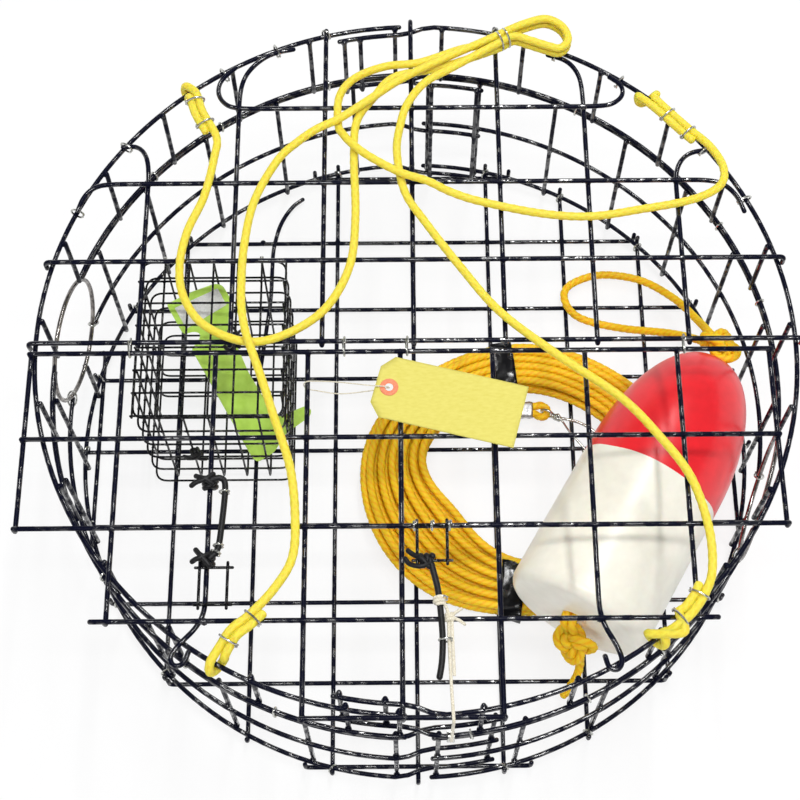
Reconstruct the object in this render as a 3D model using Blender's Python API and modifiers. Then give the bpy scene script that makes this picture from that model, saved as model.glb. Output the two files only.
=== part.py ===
"""Round welded-wire crab trap with its harness, bait cage, buoy and main line.

Metres, +Z up.  The origin is the centre of the floor panel, on the ground:
the flat undersides of the floor's lower wires lie at z = 0.  The lid is the
front half (-Y) and swings up about the edge wire of the fixed rear roof.
"""

import math

import bmesh
import bpy
from mathutils import Matrix, Vector

# Cage
CAGE_RADIUS = 0.390           # centre line of the hoops
CAGE_HEIGHT = 0.303           # centre line of the top hoop
MESH_PITCH = 0.094            # floor, roof and lid cells
WALL_BARS = 26                # upright bars round the wall
WIRE = 0.0052                 # vinyl coated frame wire
GAP = 0.0003                  # clearance between pieces that rest on each other
WELD_SINK = 0.0009            # how deep two crossed wires are fused
WIRE_END = 0.008              # floor and roof wires run this far past a hoop

# Wall strips: the halves lap each other beside the Y axis, front and rear
LAP_START = 77.6              # degrees from +X
LAP_END = 87.9
LAP_EASE = 5.5
LAP_CLEARANCE = 0.0010

# Entry rings
RING_WIRE = 0.0050
RING_RADIUS = 0.0685          # centre line
RING_RISE = 0.0557            # centre of the ring above the middle hoop
RING_ANGLES = {"left": 169.6, "right": -18.8}

# Roof and lid
ROOF_SHIFT = -0.002           # roof's middle bar from the Y axis
LID_EDGE = 0.012              # lid's edge wire in front of the roof's
LID_SHIFT = -0.016            # lid's middle bar from the Y axis
LID_ROWS = 5                  # edge wire included

# Hog rings: places along the hinge, and bar steps from an entry ring for the wall seam
HOG_WIRE = 0.0022
HOG_FLAT = 0.90               # inner over outer radius of a ring drawn with six sides
HINGE_CLIPS = (-0.291, -0.073, -0.009, 0.273)
WALL_CLIPS = (("right", 5.75), ("left", -3.25), ("left", 3.25))
FLOOR_CLIP_LIFT = 0.0010      # a floor ring hangs on the bar it holds
RING_CLIP_SHIFT = 6.7         # degrees round the entry ring from the hoop's height
RING_CLIP_OUT = 0.0046        # from the entry ring's centre line
RING_CLIP_RADIUS = 0.0095

# Bait cage
BAIT_WIRE = 0.0030
BAIT_WIDTH = 0.162
BAIT_DEPTH = 0.190
BAIT_HEIGHT = 0.186
BAIT_IN = 0.085               # its left side in from the hoops
BAIT_FRONT = -0.040
BAIT_CELLS = (3, 3, 3)        # across, deep, high

# Buoy
BUOY_DIAMETER = 0.160
BUOY_LENGTH = 0.345
BUOY_BORE = 0.020
BUOY_IN = 0.118               # its middle in from the hoops
BUOY_PLACE = -20.25           # degrees from +X to its middle
BUOY_HEADING = 59.6           # degrees from +X towards the nose
BUOY_STEPS = 18

# Gauge
GAUGE_THICK = 0.0030
GAUGE_FOOT = (0.125, 0.026)   # from the bait cage's front left corner
GAUGE_HEAD = (0.053, 0.173)
GAUGE_RISE = 0.165            # its head above the ground

# Ropes
HARNESS_ROPE = 0.0090
HARNESS_STEP = 0.0094         # height gained where one leg crosses another
HARNESS_KNOT = (0.100, 0.3565)
HITCHES = {"a": (128.7, 1.6), "b": (-120.1, 1.6), "c": (47.3, 3.0), "d": (-55.5, -3.0)}
MAIN_LINE = 0.0084
KNOT_RADIUS = 0.0071
COIL_CENTRE = (0.125, -0.045)
COIL_HALF_X = 0.152           # to the middle of the turns
COIL_HALF_Y = 0.141
COIL_LAYERS = 3
COIL_TURNS = 4                # turns of spiral in a layer
COIL_WIDTH = 0.050            # from the inmost to the outmost turn
COIL_LAYER = 0.0094
COIL_POINTS = 24
COIL_START = 125              # degrees from +X, of the outer end
COIL_RAISE = 0.0012           # room for the tape below the rope
TAPE_THICK = 0.0008
TAPE_WIDTH = 0.024
TAPE_ANGLES = (-96.6, 96.8)   # degrees round the coil

# Tag
TAG_LENGTH = 0.150
TAG_WIDTH = 0.069
TAG_THICK = 0.0009
TAG_CENTRE = (0.0315, -0.0755)
TAG_ANGLE = -14.9
TAG_HOLE = 0.0045             # radius
TAG_CORD = 0.0016

# Lid fastenings
STRAP = 0.0050                # rubber cord
COTTON = 0.0030
HOOK_X = 0.031
HOOK_THICK = 0.0020
HOOK_WIDTH = 0.0080
HOOK_BEND = 0.0022
HOOK_TIP = 0.0055             # height of the upturned tip
HOOK_HOLE = 0.0050

# Line snap
SNAP_NECK = (0.1665, 0.0353, 0.0185)
SNAP_HEADING = -26.2
SNAP_SLOPE = -0.124
SNAP_WIRE = 0.0035
SNAP_BARREL = 0.0080
SNAP_PIN = 0.0024
SNAP_EYE_WIRE = 0.0030
SNAP_EYE_RADIUS = 0.0080

# Colours, roughness and metallic value of each finish
FINISHES = {
    "coated_wire": ((0.010, 0.011, 0.022), 0.34, 0.0),
    "bait_wire": ((0.012, 0.012, 0.014), 0.42, 0.0),
    "galvanised": ((0.42, 0.42, 0.41), 0.36, 1.0),
    "rubber": ((0.012, 0.012, 0.014), 0.62, 0.0),
    "cotton": ((0.80, 0.78, 0.72), 0.90, 0.0),
    "yellow_rope": ((0.86, 0.72, 0.08), 0.55, 0.0),
    "orange_rope": ((0.90, 0.42, 0.02), 0.50, 0.0),
    "buoy_foam": ((0.80, 0.78, 0.74), 0.45, 0.0),
    "lime_plastic": ((0.30, 0.62, 0.05), 0.40, 0.0),
    "tag_card": ((0.85, 0.80, 0.36), 0.70, 0.0),
    "tape": ((0.010, 0.010, 0.012), 0.40, 0.0),
}

# Heights worked out from the sizes above
HALF = WIRE / 2
CORNER = HALF * math.sqrt(2)                      # centre to edge of a square wire
CROSS = WIRE - WELD_SINK                          # between two welded layers
FLOOR_ROW_Z = HALF
FLOOR_BAR_Z = FLOOR_ROW_Z + CROSS
FLOOR_TOP = FLOOR_BAR_Z + HALF + GAP              # where things inside the cage rest
BASE_HOOP_Z = FLOOR_TOP + HALF
BAR_INSET = CROSS                                 # wall bars inside the hoops
WALL_ROW = (CAGE_HEIGHT - BASE_HOOP_Z) / 3
MID_HOOP_Z = BASE_HOOP_Z + WALL_ROW
RING_HEIGHT = MID_HOOP_Z + RING_RISE
LAP_HOOP_Z = BASE_HOOP_Z + 2 * WALL_ROW
UPPER_HOOP_Z = LAP_HOOP_Z + WIRE + GAP
ROOF_BAR_Z = CAGE_HEIGHT + HALF + GAP + HALF
ROOF_ROW_Z = ROOF_BAR_Z + CROSS
ROOF_TOP = ROOF_ROW_Z + HALF + GAP                # where things on the roof rest
ROOF_EDGE_Y = -0.006
LID_EDGE_Y = ROOF_EDGE_Y - LID_EDGE
LAP_TUCK = BAR_INSET + WIRE + LAP_CLEARANCE
BAR_STEP = 360 / WALL_BARS
ROPE_Z = ROOF_TOP + HARNESS_ROPE / 2
WIRE_REACH = CAGE_RADIUS + WIRE_END
BAIT_CORNER = Vector((BAIT_IN - CAGE_RADIUS, BAIT_FRONT))
CLIP_RADIUS = (math.hypot(1.3 * HALF, WIRE + GAP / 2) + GAP + HOG_WIRE / 2) / HOG_FLAT
HITCH_RADIUS = CORNER + GAP + HARNESS_ROPE / 2 + 0.0005
LID_BARS = [LID_SHIFT + MESH_PITCH * step for step in range(-4, 5)]
LID_ROW_Y = [LID_EDGE_Y - MESH_PITCH * step for step in range(LID_ROWS)]
COIL_TOP = FLOOR_TOP + COIL_RAISE + MAIN_LINE + COIL_LAYER * (COIL_LAYERS - 1)
LINE_FLOOR_Z = FLOOR_TOP + MAIN_LINE / 2


def clear_scene():
    for thing in list(bpy.data.objects):
        bpy.data.objects.remove(thing, do_unlink=True)


def make_collection(name):
    collection = bpy.data.collections.new(name)
    bpy.context.scene.collection.children.link(collection)
    return collection


def make_material(name, finish):
    colour, roughness, metallic = FINISHES[finish]
    material = bpy.data.materials.new(name)
    material.use_nodes = True
    shader = material.node_tree.nodes["Principled BSDF"]
    shader.inputs["Base Color"].default_value = (*colour, 1.0)
    shader.inputs["Roughness"].default_value = roughness
    shader.inputs["Metallic"].default_value = metallic
    return material


def place(name, mesh, finish, parent=None):
    """One named piece of the trap, its mesh given in world coordinates."""
    piece = bpy.data.objects.new(name, mesh)
    PARTS.objects.link(piece)
    piece.data.materials.clear()
    piece.data.materials.append(make_material(name, finish))
    if parent is not None:
        piece.parent = parent
        piece.matrix_parent_inverse = Matrix.Translation(parent.location).inverted()
    return piece


def make_pivot(name, location):
    pivot = bpy.data.objects.new(name, None)
    pivot.empty_display_size = 0.03
    pivot.location = location
    PARTS.objects.link(pivot)
    return pivot


def bend(corners, step, turn=24):
    """Points on a smooth curve through hand-chosen corners, closer where it turns."""
    dense = []
    padded = [corners[0], *corners, corners[-1]]
    for a, b, c, d in zip(padded, padded[1:], padded[2:], padded[3:]):
        a, b, c, d = (Vector(point) for point in (a, b, c, d))
        for count in range(12):
            t = count / 12
            dense.append(0.5 * (2 * b + (c - a) * t + (2 * a - 5 * b + 4 * c - d) * t * t
                                + (3 * b - a - 3 * c + d) * t ** 3))
    dense.append(Vector(corners[-1]))
    points = [dense[0]]
    heading = dense[1] - dense[0]
    for place_now, following in zip(dense[1:], dense[2:]):
        ahead = following - place_now
        travelled = (place_now - points[-1]).length
        turned = math.degrees(heading.angle(ahead, 0))
        if travelled > step or (turned > turn and travelled > step / 12):
            points.append(place_now)
            heading = ahead
    if (dense[-1] - points[-1]).length < step / 6:
        points.pop()
    return [*points, dense[-1]]


def tube(points, diameter, resolution=0, closed=False, square=False, roll=0.0):
    """A wire or rope along the points, as a closed mesh."""
    data = bpy.data.curves.new("route", "CURVE")
    data.dimensions = "3D"
    data.twist_mode = "Z_UP" if resolution == 0 else "MINIMUM"
    data.bevel_depth = diameter / 2 * (math.sqrt(2) if square else 1)
    data.bevel_resolution = resolution
    data.use_fill_caps = not closed
    spline = data.splines.new("POLY")
    spline.points.add(len(points) - 1)
    for slot, point in zip(spline.points, points):
        slot.co = (*point, 1.0)
        slot.tilt = math.radians(45) + roll if square else 0.0
    spline.use_cyclic_u = closed
    route = bpy.data.objects.new("route", data)
    bpy.context.scene.collection.objects.link(route)
    evaluated = route.evaluated_get(bpy.context.evaluated_depsgraph_get())
    mesh = bpy.data.meshes.new_from_object(evaluated)
    mesh.transform(route.matrix_world)
    bpy.data.objects.remove(route, do_unlink=True)
    bpy.data.curves.remove(data)
    work = bmesh.new()
    work.from_mesh(mesh)
    bmesh.ops.remove_doubles(work, verts=work.verts, dist=0.00001)
    bmesh.ops.recalc_face_normals(work, faces=work.faces)
    work.to_mesh(mesh)
    work.free()
    return mesh


def wire(points, roll=0.0):
    """A frame wire, drawn square with its flats up and sideways."""
    return tube(points, WIRE, square=True, roll=roll)


def fine_wire(points):
    """A straight wire of fine mesh, drawn square."""
    return tube(points, BAIT_WIRE, square=True)


def gather(meshes):
    """Several separate solids in one mesh."""
    work = bmesh.new()
    for mesh in meshes:
        work.from_mesh(mesh)
        bpy.data.meshes.remove(mesh)
    result = bpy.data.meshes.new("gathered")
    work.to_mesh(result)
    work.free()
    return result


def combine(piece, mesh, name, operation):
    """Add a solid to a piece or take it away, with a modifier that stays editable."""
    tool = bpy.data.objects.new(f"{piece.name}_{name}", mesh)
    CUTTERS.objects.link(tool)
    tool.hide_render = True
    tool.display_type = "WIRE"
    step = piece.modifiers.new(name, "BOOLEAN")
    step.operation = operation
    step.solver = "EXACT"
    step.object = tool


def weld(piece, *others):
    """Fuse further sets of wires to a piece."""
    for number, mesh in enumerate(others):
        combine(piece, mesh, f"weld_{number + 1}", "UNION")
    return piece


def smooth(mesh):
    mesh.shade_smooth()
    mesh.set_sharp_from_angle(angle=math.radians(40))
    return mesh


def polar(radius, degrees, height):
    angle = math.radians(degrees)
    return Vector((radius * math.cos(angle), radius * math.sin(angle), height))


def ring_mesh(radius, thick, matrix, around=12):
    """A closed ring of six-sided wire in the local XY plane."""
    points = [matrix @ polar(radius, 360 * step / around, 0) for step in range(around)]
    return tube(points, thick, 1, closed=True)


def band(half_width, half_height, thick, length, matrix, corner):
    """A closed strap round a bundle, its length along local X."""
    loops = []
    for grow in (0.0, thick):
        loop = []
        for index, (sign_y, sign_z) in enumerate(((1, 1), (-1, 1), (-1, -1), (1, -1))):
            for step in range(3):
                angle = math.radians(90 * index + 45 * step)
                y = sign_y * (half_width - corner) + (corner + grow) * math.cos(angle)
                z = sign_z * (half_height - corner) + (corner + grow) * math.sin(angle)
                loop.append((y, z))
        loops.append(loop)
    work = bmesh.new()
    rings = [[work.verts.new(matrix @ Vector((side * length / 2, y, z))) for y, z in loop]
             for loop, side in ((loops[0], -1), (loops[0], 1), (loops[1], 1), (loops[1], -1))]
    for first, second in zip(rings, rings[1:] + rings[:1]):
        for index in range(12):
            after = (index + 1) % 12
            work.faces.new((first[index], first[after], second[after], second[index]))
    bmesh.ops.recalc_face_normals(work, faces=work.faces)
    mesh = bpy.data.meshes.new("band")
    work.to_mesh(mesh)
    work.free()
    return mesh


def knot(centre, normal, radius, thick):
    """A closed turn of cord round an axis."""
    turn = Vector(normal).to_track_quat("Z", "Y").to_matrix().to_4x4()
    turn.translation = Vector(centre)
    return ring_mesh(radius, thick, turn, 10)


def clip_mesh(centre, normal, radius, start=24, steps=6):
    """A hog ring: a C of springy wire with a small mouth, round the normal."""
    turn = Vector(normal).to_track_quat("Z", "Y").to_matrix().to_4x4()
    turn.translation = Vector(centre)
    sweep = 360 - 2 * start
    points = [turn @ polar(radius, start + sweep * step / steps, 0) for step in range(steps + 1)]
    return tube(points, HOG_WIRE)


# Wall

def ring_gap(offset):
    """Half width kept clear of a wire for an entry ring, at an offset from its centre."""
    clear = RING_RADIUS + RING_WIRE / 2 + GAP
    edge = max(0.0, abs(offset) - HALF)
    return math.sqrt(clear * clear - edge * edge) if edge < clear else 0.0


def tuck_at(degrees, laps):
    """How far a strip's end is tucked inside its neighbour's."""
    for inner, outer in laps:
        low, high = min(inner, outer), max(inner, outer)
        if low <= degrees <= high:
            return LAP_TUCK
        away = low - degrees if degrees < low else degrees - high
        if away < LAP_EASE:
            share = 1 - away / LAP_EASE
            return LAP_TUCK * share * share * (3 - 2 * share)
    return 0.0


def hoop_arcs(first, last, height, laps, ring_angle):
    """A strip's hoop, broken where the entry ring interrupts it."""
    gap = math.degrees(ring_gap(height - RING_HEIGHT) / CAGE_RADIUS)
    spans = [(first, last)]
    if gap:
        spans = [(first, ring_angle - gap), (ring_angle + gap, last)]
    arcs = []
    for start, end in spans:
        count = max(2, round((end - start) / (BAR_STEP / 2)))
        angles = [start + (end - start) * step / count for step in range(count + 1)]
        for end_angle, edge in laps:
            ease = math.copysign(LAP_EASE, edge - end_angle)
            angles += [corner for corner in (edge, edge + ease) if start < corner < end]
        angles.sort()
        points = [polar(CAGE_RADIUS - tuck_at(angle, laps), angle, height) for angle in angles]
        arcs.append(wire(points))
    return arcs


def wall_bars(angles, low, high, laps, ring_angle):
    """Upright bars, cut short above and below the entry ring."""
    bars = []
    for angle in angles:
        inset = CAGE_RADIUS - BAR_INSET - tuck_at(angle, laps)
        sideways = CAGE_RADIUS * math.sin(math.radians(angle - ring_angle))
        clear = ring_gap(sideways) if abs(angle - ring_angle) < 90 else 0.0
        spans = [(low, high)]
        if clear:
            spans = [(low, RING_HEIGHT - clear), (RING_HEIGHT + clear, high)]
        for start, end in spans:
            if end - start > WIRE:
                bars.append(wire([polar(inset, angle, start), polar(inset, angle, end)],
                                 math.radians(angle)))
    return bars


def wall_strip(name, first, last, heights, bar_start, laps, ring_angle):
    hoops = []
    for height in heights:
        hoops.extend(hoop_arcs(first, last, height, laps, ring_angle))
    margin = math.degrees(WIRE / CAGE_RADIUS)
    steps = range(-WALL_BARS, WALL_BARS)
    angles = [bar_start + BAR_STEP * step for step in steps]
    angles = [angle for angle in angles if first + 3 * margin < angle < last - 3 * margin]
    angles = [first + margin, *angles, last - margin]
    bars = wall_bars(angles, heights[0] - HALF, heights[-1] + HALF, laps, ring_angle)
    strip = place(name, gather(hoops), "coated_wire")
    return weld(strip, gather(bars))


def make_wall():
    lower = (BASE_HOOP_Z, MID_HOOP_Z, LAP_HOOP_Z)
    upper = (UPPER_HOOP_Z, CAGE_HEIGHT)
    left, right = RING_ANGLES["left"], RING_ANGLES["right"]
    near, far = LAP_START, LAP_END
    wall_strip("lower_wall_left", near, 360 - near, lower, left,
               [(near, far), (360 - near, 360 - far)], left)
    wall_strip("lower_wall_right", -far, far, lower, right, [], right)
    wall_strip("upper_wall_left", 180 - far, 180 + far, upper, left - BAR_STEP / 2, [], left)
    wall_strip("upper_wall_right", near - 180, 180 - near, upper, right - BAR_STEP / 2,
               [(near - 180, far - 180), (180 - near, 180 - far)], right)


def make_entry_rings():
    for side, angle in RING_ANGLES.items():
        turn = Matrix.Rotation(math.radians(angle), 4, "Z") @ Matrix.Rotation(math.radians(90), 4, "Y")
        turn.translation = polar(CAGE_RADIUS - HALF, angle, RING_HEIGHT)
        place(f"entry_ring_{side}", smooth(ring_mesh(RING_RADIUS, RING_WIRE, turn, 18)), "galvanised")


# Floor, roof and lid panels

def straight_wire(across, height, along_x):
    """A wire right across the cage, both ends just past the hoop."""
    half = math.sqrt(WIRE_REACH ** 2 - across ** 2)
    ends = [(-half, across), (half, across)] if along_x else [(across, -half), (across, half)]
    return wire([(x, y, height) for x, y in ends])


def make_floor():
    reach = int((CAGE_RADIUS - 2 * WIRE) / MESH_PITCH)
    offsets = [MESH_PITCH * step for step in range(-reach, reach + 1)]
    rows = [straight_wire(offset, FLOOR_ROW_Z, True) for offset in offsets]
    bars = [straight_wire(offset, FLOOR_BAR_Z, False) for offset in offsets]
    floor = place("floor_panel", gather(rows), "coated_wire")
    return weld(floor, gather(bars))


def level(points, height):
    return [(x, y, height) for x, y in points]


def make_roof():
    """Fixed rear half: long wire ends are bent round to follow the hoop."""
    row_y = [ROOF_EDGE_Y + MESH_PITCH * step for step in range(4)]
    bar_x = [ROOF_SHIFT + MESH_PITCH * step for step in range(-3, 4)]
    start = ROOF_EDGE_Y - HALF
    rows = [straight_wire(y, ROOF_ROW_Z, True) for y in row_y[:2]]
    second = level([(-0.356, 0.150), (-0.351, 0.167), (-0.340, 0.179), (-0.324, row_y[2]),
                    (0.318, row_y[2]), (0.334, 0.174), (0.344, 0.160), (0.349, 0.143)], ROOF_ROW_Z)
    third = level([(-0.195, 0.330), (-0.211, 0.314), (-0.214, 0.296), (-0.205, 0.281),
                   (-0.190, row_y[3]), (0.203, row_y[3]), (0.219, 0.279), (0.230, 0.290),
                   (0.229, 0.304), (0.216, 0.314)], ROOF_ROW_Z)
    rows += [wire(second), wire(third)]
    outer_left = level([(bar_x[0], start), (bar_x[0], 0.200), (-0.288, 0.221), (-0.298, 0.232),
                        (-0.314, 0.231)], ROOF_BAR_Z)
    inner_left = level([(bar_x[1], start), (bar_x[1], 0.300), (-0.185, 0.322), (-0.172, 0.340),
                        (-0.155, 0.352), (-0.132, 0.357)], ROOF_BAR_Z)
    inner_right = level([(bar_x[5], start), (bar_x[5], 0.300), (0.183, 0.322), (0.171, 0.340),
                         (0.150, 0.347)], ROOF_BAR_Z)
    outer_right = level([(bar_x[6], start), (bar_x[6], 0.190), (0.286, 0.208), (0.298, 0.219),
                         (0.316, 0.222)], ROOF_BAR_Z)
    bars = [wire(points) for points in (outer_left, inner_left, inner_right, outer_right)]
    for x in bar_x[2:5]:
        half = math.sqrt(WIRE_REACH ** 2 - x ** 2)
        bars.append(wire(level([(x, start), (x, half)], ROOF_BAR_Z)))
    roof = place("roof_panel", gather(rows), "coated_wire")
    return weld(roof, gather(bars))


def make_lid(pivot):
    """Stepped front half, wider than the cage at its first rows."""
    rows_y, bars_x = LID_ROW_Y, LID_BARS
    ends = [(bars_x[0], bars_x[8])] * 3 + [(-0.311, 0.283), (bars_x[3], bars_x[5])]
    rows = []
    for y, (left, right) in zip(rows_y, ends):
        rows.append(wire(level([(left - HALF, y), (right + HALF, y)], ROOF_ROW_Z)))
    lengths = {0: 2, 8: 2, 1: 3, 7: 3, 3: 4, 4: 4, 5: 4}
    bars = []
    for index, row in lengths.items():
        x = bars_x[index]
        bars.append(wire(level([(x, rows_y[0]), (x, rows_y[row] - HALF)], ROOF_BAR_Z)))
    left_hook = [(bars_x[2], rows_y[0]), (bars_x[2], -0.290), (-0.212, -0.306), (-0.226, -0.320),
                 (-0.236, -0.333), (-0.232, -0.343), (-0.222, -0.341), (-0.218, -0.329)]
    right_hook = [(bars_x[6], rows_y[0]), (bars_x[6], -0.290), (0.176, -0.306), (0.186, -0.324),
                  (0.192, -0.340), (0.187, -0.350), (0.178, -0.348), (0.175, -0.336)]
    bars += [wire(level(left_hook, ROOF_BAR_Z)), wire(level(right_hook, ROOF_BAR_Z))]
    lid = place("lid_panel", gather(rows), "coated_wire", pivot)
    return weld(lid, gather(bars))


# Hog rings

def make_hinge_clips(pivot):
    """Rings round the roof's edge wire and the lid's."""
    radius = (math.hypot(LID_EDGE / 2 + HALF, HALF) + GAP + HOG_WIRE / 2) / HOG_FLAT
    centre_y = (ROOF_EDGE_Y + LID_EDGE_Y) / 2
    for number, x in enumerate(HINGE_CLIPS):
        clip = clip_mesh((x, centre_y, ROOF_ROW_Z), (1, 0, 0), radius)
        place(f"hinge_ring_{number + 1}", smooth(clip), "galvanised", pivot)


def crossing_clip(name, x, side, height):
    """A ring round a hoop and the lengthwise bar that crosses it at x."""
    y = side * math.sqrt(CAGE_RADIUS * CAGE_RADIUS - x * x)
    tangent = Vector((-y, x, 0)).normalized()
    along = Vector((0, math.copysign(1, x), 0))
    centre = Vector((x, y, height))
    clip = clip_mesh(centre, tangent + along, CLIP_RADIUS + 0.0008)
    place(name, smooth(clip), "galvanised")


def make_cage_clips():
    """Rings round two wires of the cage, a sample of each kind of seam."""
    seam = (LAP_HOOP_Z + UPPER_HOOP_Z) / 2
    for number, (side, steps) in enumerate(WALL_CLIPS):
        angle = RING_ANGLES[side] + BAR_STEP * steps
        tangent = polar(1, angle + 90, 0)
        clip = clip_mesh(polar(CAGE_RADIUS, angle, seam), tangent, CLIP_RADIUS)
        place(f"wall_clip_{number + 1}", smooth(clip), "galvanised")
    floor_z = (BASE_HOOP_Z + FLOOR_BAR_Z) / 2 + FLOOR_CLIP_LIFT
    roof_z = (CAGE_HEIGHT + ROOF_BAR_Z) / 2
    for number, (step, side) in enumerate(((-2, 1), (2, 1), (2, -1))):
        crossing_clip(f"floor_clip_{number + 1}", MESH_PITCH * step, side, floor_z)
    for number, step in enumerate((-1, 1)):
        crossing_clip(f"roof_clip_{number + 1}", ROOF_SHIFT + MESH_PITCH * step, 1, roof_z)


def make_ring_clips():
    """Rings holding the entry rings to the cut ends of the middle hoop."""
    drop = MID_HOOP_Z - RING_HEIGHT
    at_hoop = math.degrees(math.asin(drop / RING_RADIUS)) + RING_CLIP_SHIFT
    for side, angle in RING_ANGLES.items():
        centre = polar(CAGE_RADIUS - HALF, angle, RING_HEIGHT)
        for number, sign in enumerate((1, -1)):
            sideways = polar(sign, angle + 90, 0)
            swing = math.radians(at_hoop)
            outward = sideways * math.cos(swing) + Vector((0, 0, math.sin(swing)))
            along = Vector((0, 0, math.cos(swing))) - sideways * math.sin(swing)
            turn = Matrix((outward, along.cross(outward), along)).transposed().to_4x4()
            turn.translation = centre + outward * (RING_RADIUS + RING_CLIP_OUT)
            points = [turn @ polar(RING_CLIP_RADIUS, 12 + 48 * step, 0) for step in range(8)]
            place(f"ring_clip_{side}_{number + 1}", smooth(tube(points, HOG_WIRE)), "galvanised")


# Bait cage and gauge

def spread(low, high, cells):
    return [low + (high - low) * step / cells for step in range(cells + 1)]


def make_bait_cage():
    left, front = BAIT_CORNER
    right, rear = left + BAIT_WIDTH, front + BAIT_DEPTH
    low = FLOOR_TOP + BAIT_WIRE / 2
    high = low + BAIT_HEIGHT
    inset = 0.6 * BAIT_WIRE
    across, deep, tall = BAIT_CELLS
    hoops = []
    for height in spread(low, high, tall):
        corners = [(left, front, height), (right, front, height), (right, rear, height),
                   (left, rear, height)]
        hoops.append(tube(corners, BAIT_WIRE, closed=True))
    top = high + BAIT_WIRE / 2
    u_bars = []
    for y in spread(front, rear, deep)[1:-1]:
        u_bars.append(tube([(left + inset, y, top), (left + inset, y, low),
                            (right - inset, y, low), (right - inset, y, top)], BAIT_WIRE))
    v_bars = []
    for x in spread(left, right, across)[1:-1]:
        v_bars.append(tube([(x, front + inset, top), (x, front + inset, low + inset),
                            (x, rear - inset, low + inset), (x, rear - inset, top)], BAIT_WIRE))
    basket = place("bait_cage", gather(hoops), "bait_wire")
    weld(basket, gather(u_bars), gather(v_bars))

    lid_low = top + GAP + BAIT_WIRE / 2
    pivot = make_pivot("bait_lid_pivot", (0, rear, lid_low))
    lid_high = lid_low + 0.8 * BAIT_WIRE
    bars = [fine_wire([(x, front, lid_low), (x, rear, lid_low)]) for x in spread(left, right, across)]
    rows = [fine_wire([(left - BAIT_WIRE / 2, y, lid_high), (right + BAIT_WIRE / 2, y, lid_high)])
            for y in spread(front, rear, deep)]
    lid = place("bait_lid", gather(bars), "bait_wire", pivot)
    weld(lid, gather(rows))
    spacing = BAIT_WIDTH / across
    ring_z = (high + lid_high) / 2
    ring_radius = ((lid_high - high) / 2 + 1.2 * BAIT_WIRE / 2 + GAP + HOG_WIRE / 2) / HOG_FLAT
    for number, x in enumerate((left + 0.5 * spacing, right - 0.5 * spacing)):
        clip = clip_mesh((x, rear, ring_z), (1, 0, 0), ring_radius)
        place(f"bait_ring_{number + 1}", smooth(clip), "galvanised", pivot)
    tie_at = Vector((right - spacing, front + 1.5 * BAIT_DEPTH / deep, lid_low))
    loop = knot(tie_at, (0, 1, 0), BAIT_WIRE / math.sqrt(2) + GAP + COTTON / 2, COTTON)
    ends = tube([tie_at + Vector((x, y, z)) for x, y, z in
                 ((0.010, 0.009, 0.0045), (0.004, 0.003, 0.0040), (-0.004, -0.004, 0.0040),
                  (-0.009, -0.010, 0.0042))], COTTON)
    weld(place("bait_tie", loop, "rubber", pivot), ends)


def make_gauge():
    """Flat measuring plate lying askew in the bait cage."""
    bait_floor = FLOOR_TOP + 1.6 * BAIT_WIRE
    foot = Vector((*(BAIT_CORNER + Vector(GAUGE_FOOT)), bait_floor + GAP + 0.3 * GAUGE_THICK))
    head = Vector((*(BAIT_CORNER + Vector(GAUGE_HEAD)), GAUGE_RISE))
    down = foot - head
    length = down.length
    down.normalize()
    across = down.cross(Vector((0, 0, 1))).normalized() * -1
    outline = [(0.000, 0.000), (0.002, 0.030), (0.008, 0.060), (0.014, 0.067), (0.038, 0.068),
               (0.060, 0.050), (0.076, 0.043), (0.119, 0.035), (0.157, 0.037), (0.187, 0.049),
               (0.200, 0.047), (length, 0.026), (length, 0.004), (length - 0.007, 0.000),
               (0.060, 0.000), (0.056, 0.013), (0.050, 0.018), (0.044, 0.013), (0.040, 0.000)]
    work = bmesh.new()
    corners = [work.verts.new(head + down * along + across * (side - 0.034))
               for along, side in outline]
    work.faces.new(corners)
    mesh = bpy.data.meshes.new("gauge")
    work.to_mesh(mesh)
    work.free()
    gauge = place("gauge", mesh, "lime_plastic")
    sheet = gauge.modifiers.new("thickness", "SOLIDIFY")
    sheet.thickness = GAUGE_THICK
    sheet.offset = 0


# Buoy

def make_buoy():
    """Bullet float with a bore along its axis, turned from its profile."""
    radius = BUOY_DIAMETER / 2
    bore = BUOY_BORE / 2
    shoulder = 0.56 * BUOY_LENGTH
    profile = [(bore, 0.0), (0.90 * radius, 0.0), (0.975 * radius, 0.006), (radius, 0.020),
               (radius, shoulder)]
    for step in range(1, 6):
        angle = math.radians(78 * step / 5)
        height = shoulder + (BUOY_LENGTH - shoulder) * math.sin(angle) / math.sin(math.radians(78))
        profile.append((radius * (0.14 + 0.86 * math.cos(angle)), height))
    profile.append((bore, BUOY_LENGTH))
    mesh = bpy.data.meshes.new("buoy_profile")
    work = bmesh.new()
    corners = [work.verts.new((r, 0, z)) for r, z in reversed(profile)]
    for first, second in zip(corners, corners[1:] + corners[:1]):
        work.edges.new((first, second))
    work.to_mesh(mesh)
    work.free()
    buoy = place("buoy", mesh, "buoy_foam")
    screw = buoy.modifiers.new("turned", "SCREW")
    screw.axis = "Z"
    screw.steps = BUOY_STEPS
    screw.render_steps = BUOY_STEPS
    screw.use_merge_vertices = True
    screw.merge_threshold = 0.00005
    screw.use_normal_calculate = True
    screw.use_smooth_shade = True
    buoy.matrix_world = buoy_matrix()
    return buoy


def buoy_matrix():
    heading = math.radians(BUOY_HEADING)
    axis = Vector((math.cos(heading), math.sin(heading), 0))
    turn = axis.to_track_quat("Z", "Y").to_matrix().to_4x4()
    middle = polar(CAGE_RADIUS - BUOY_IN, BUOY_PLACE, COIL_TOP + GAP + BUOY_DIAMETER / 2)
    turn.translation = middle - axis * BUOY_LENGTH / 2
    return turn @ Matrix.Rotation(math.pi / BUOY_STEPS, 4, "Z")


# Ropes

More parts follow.
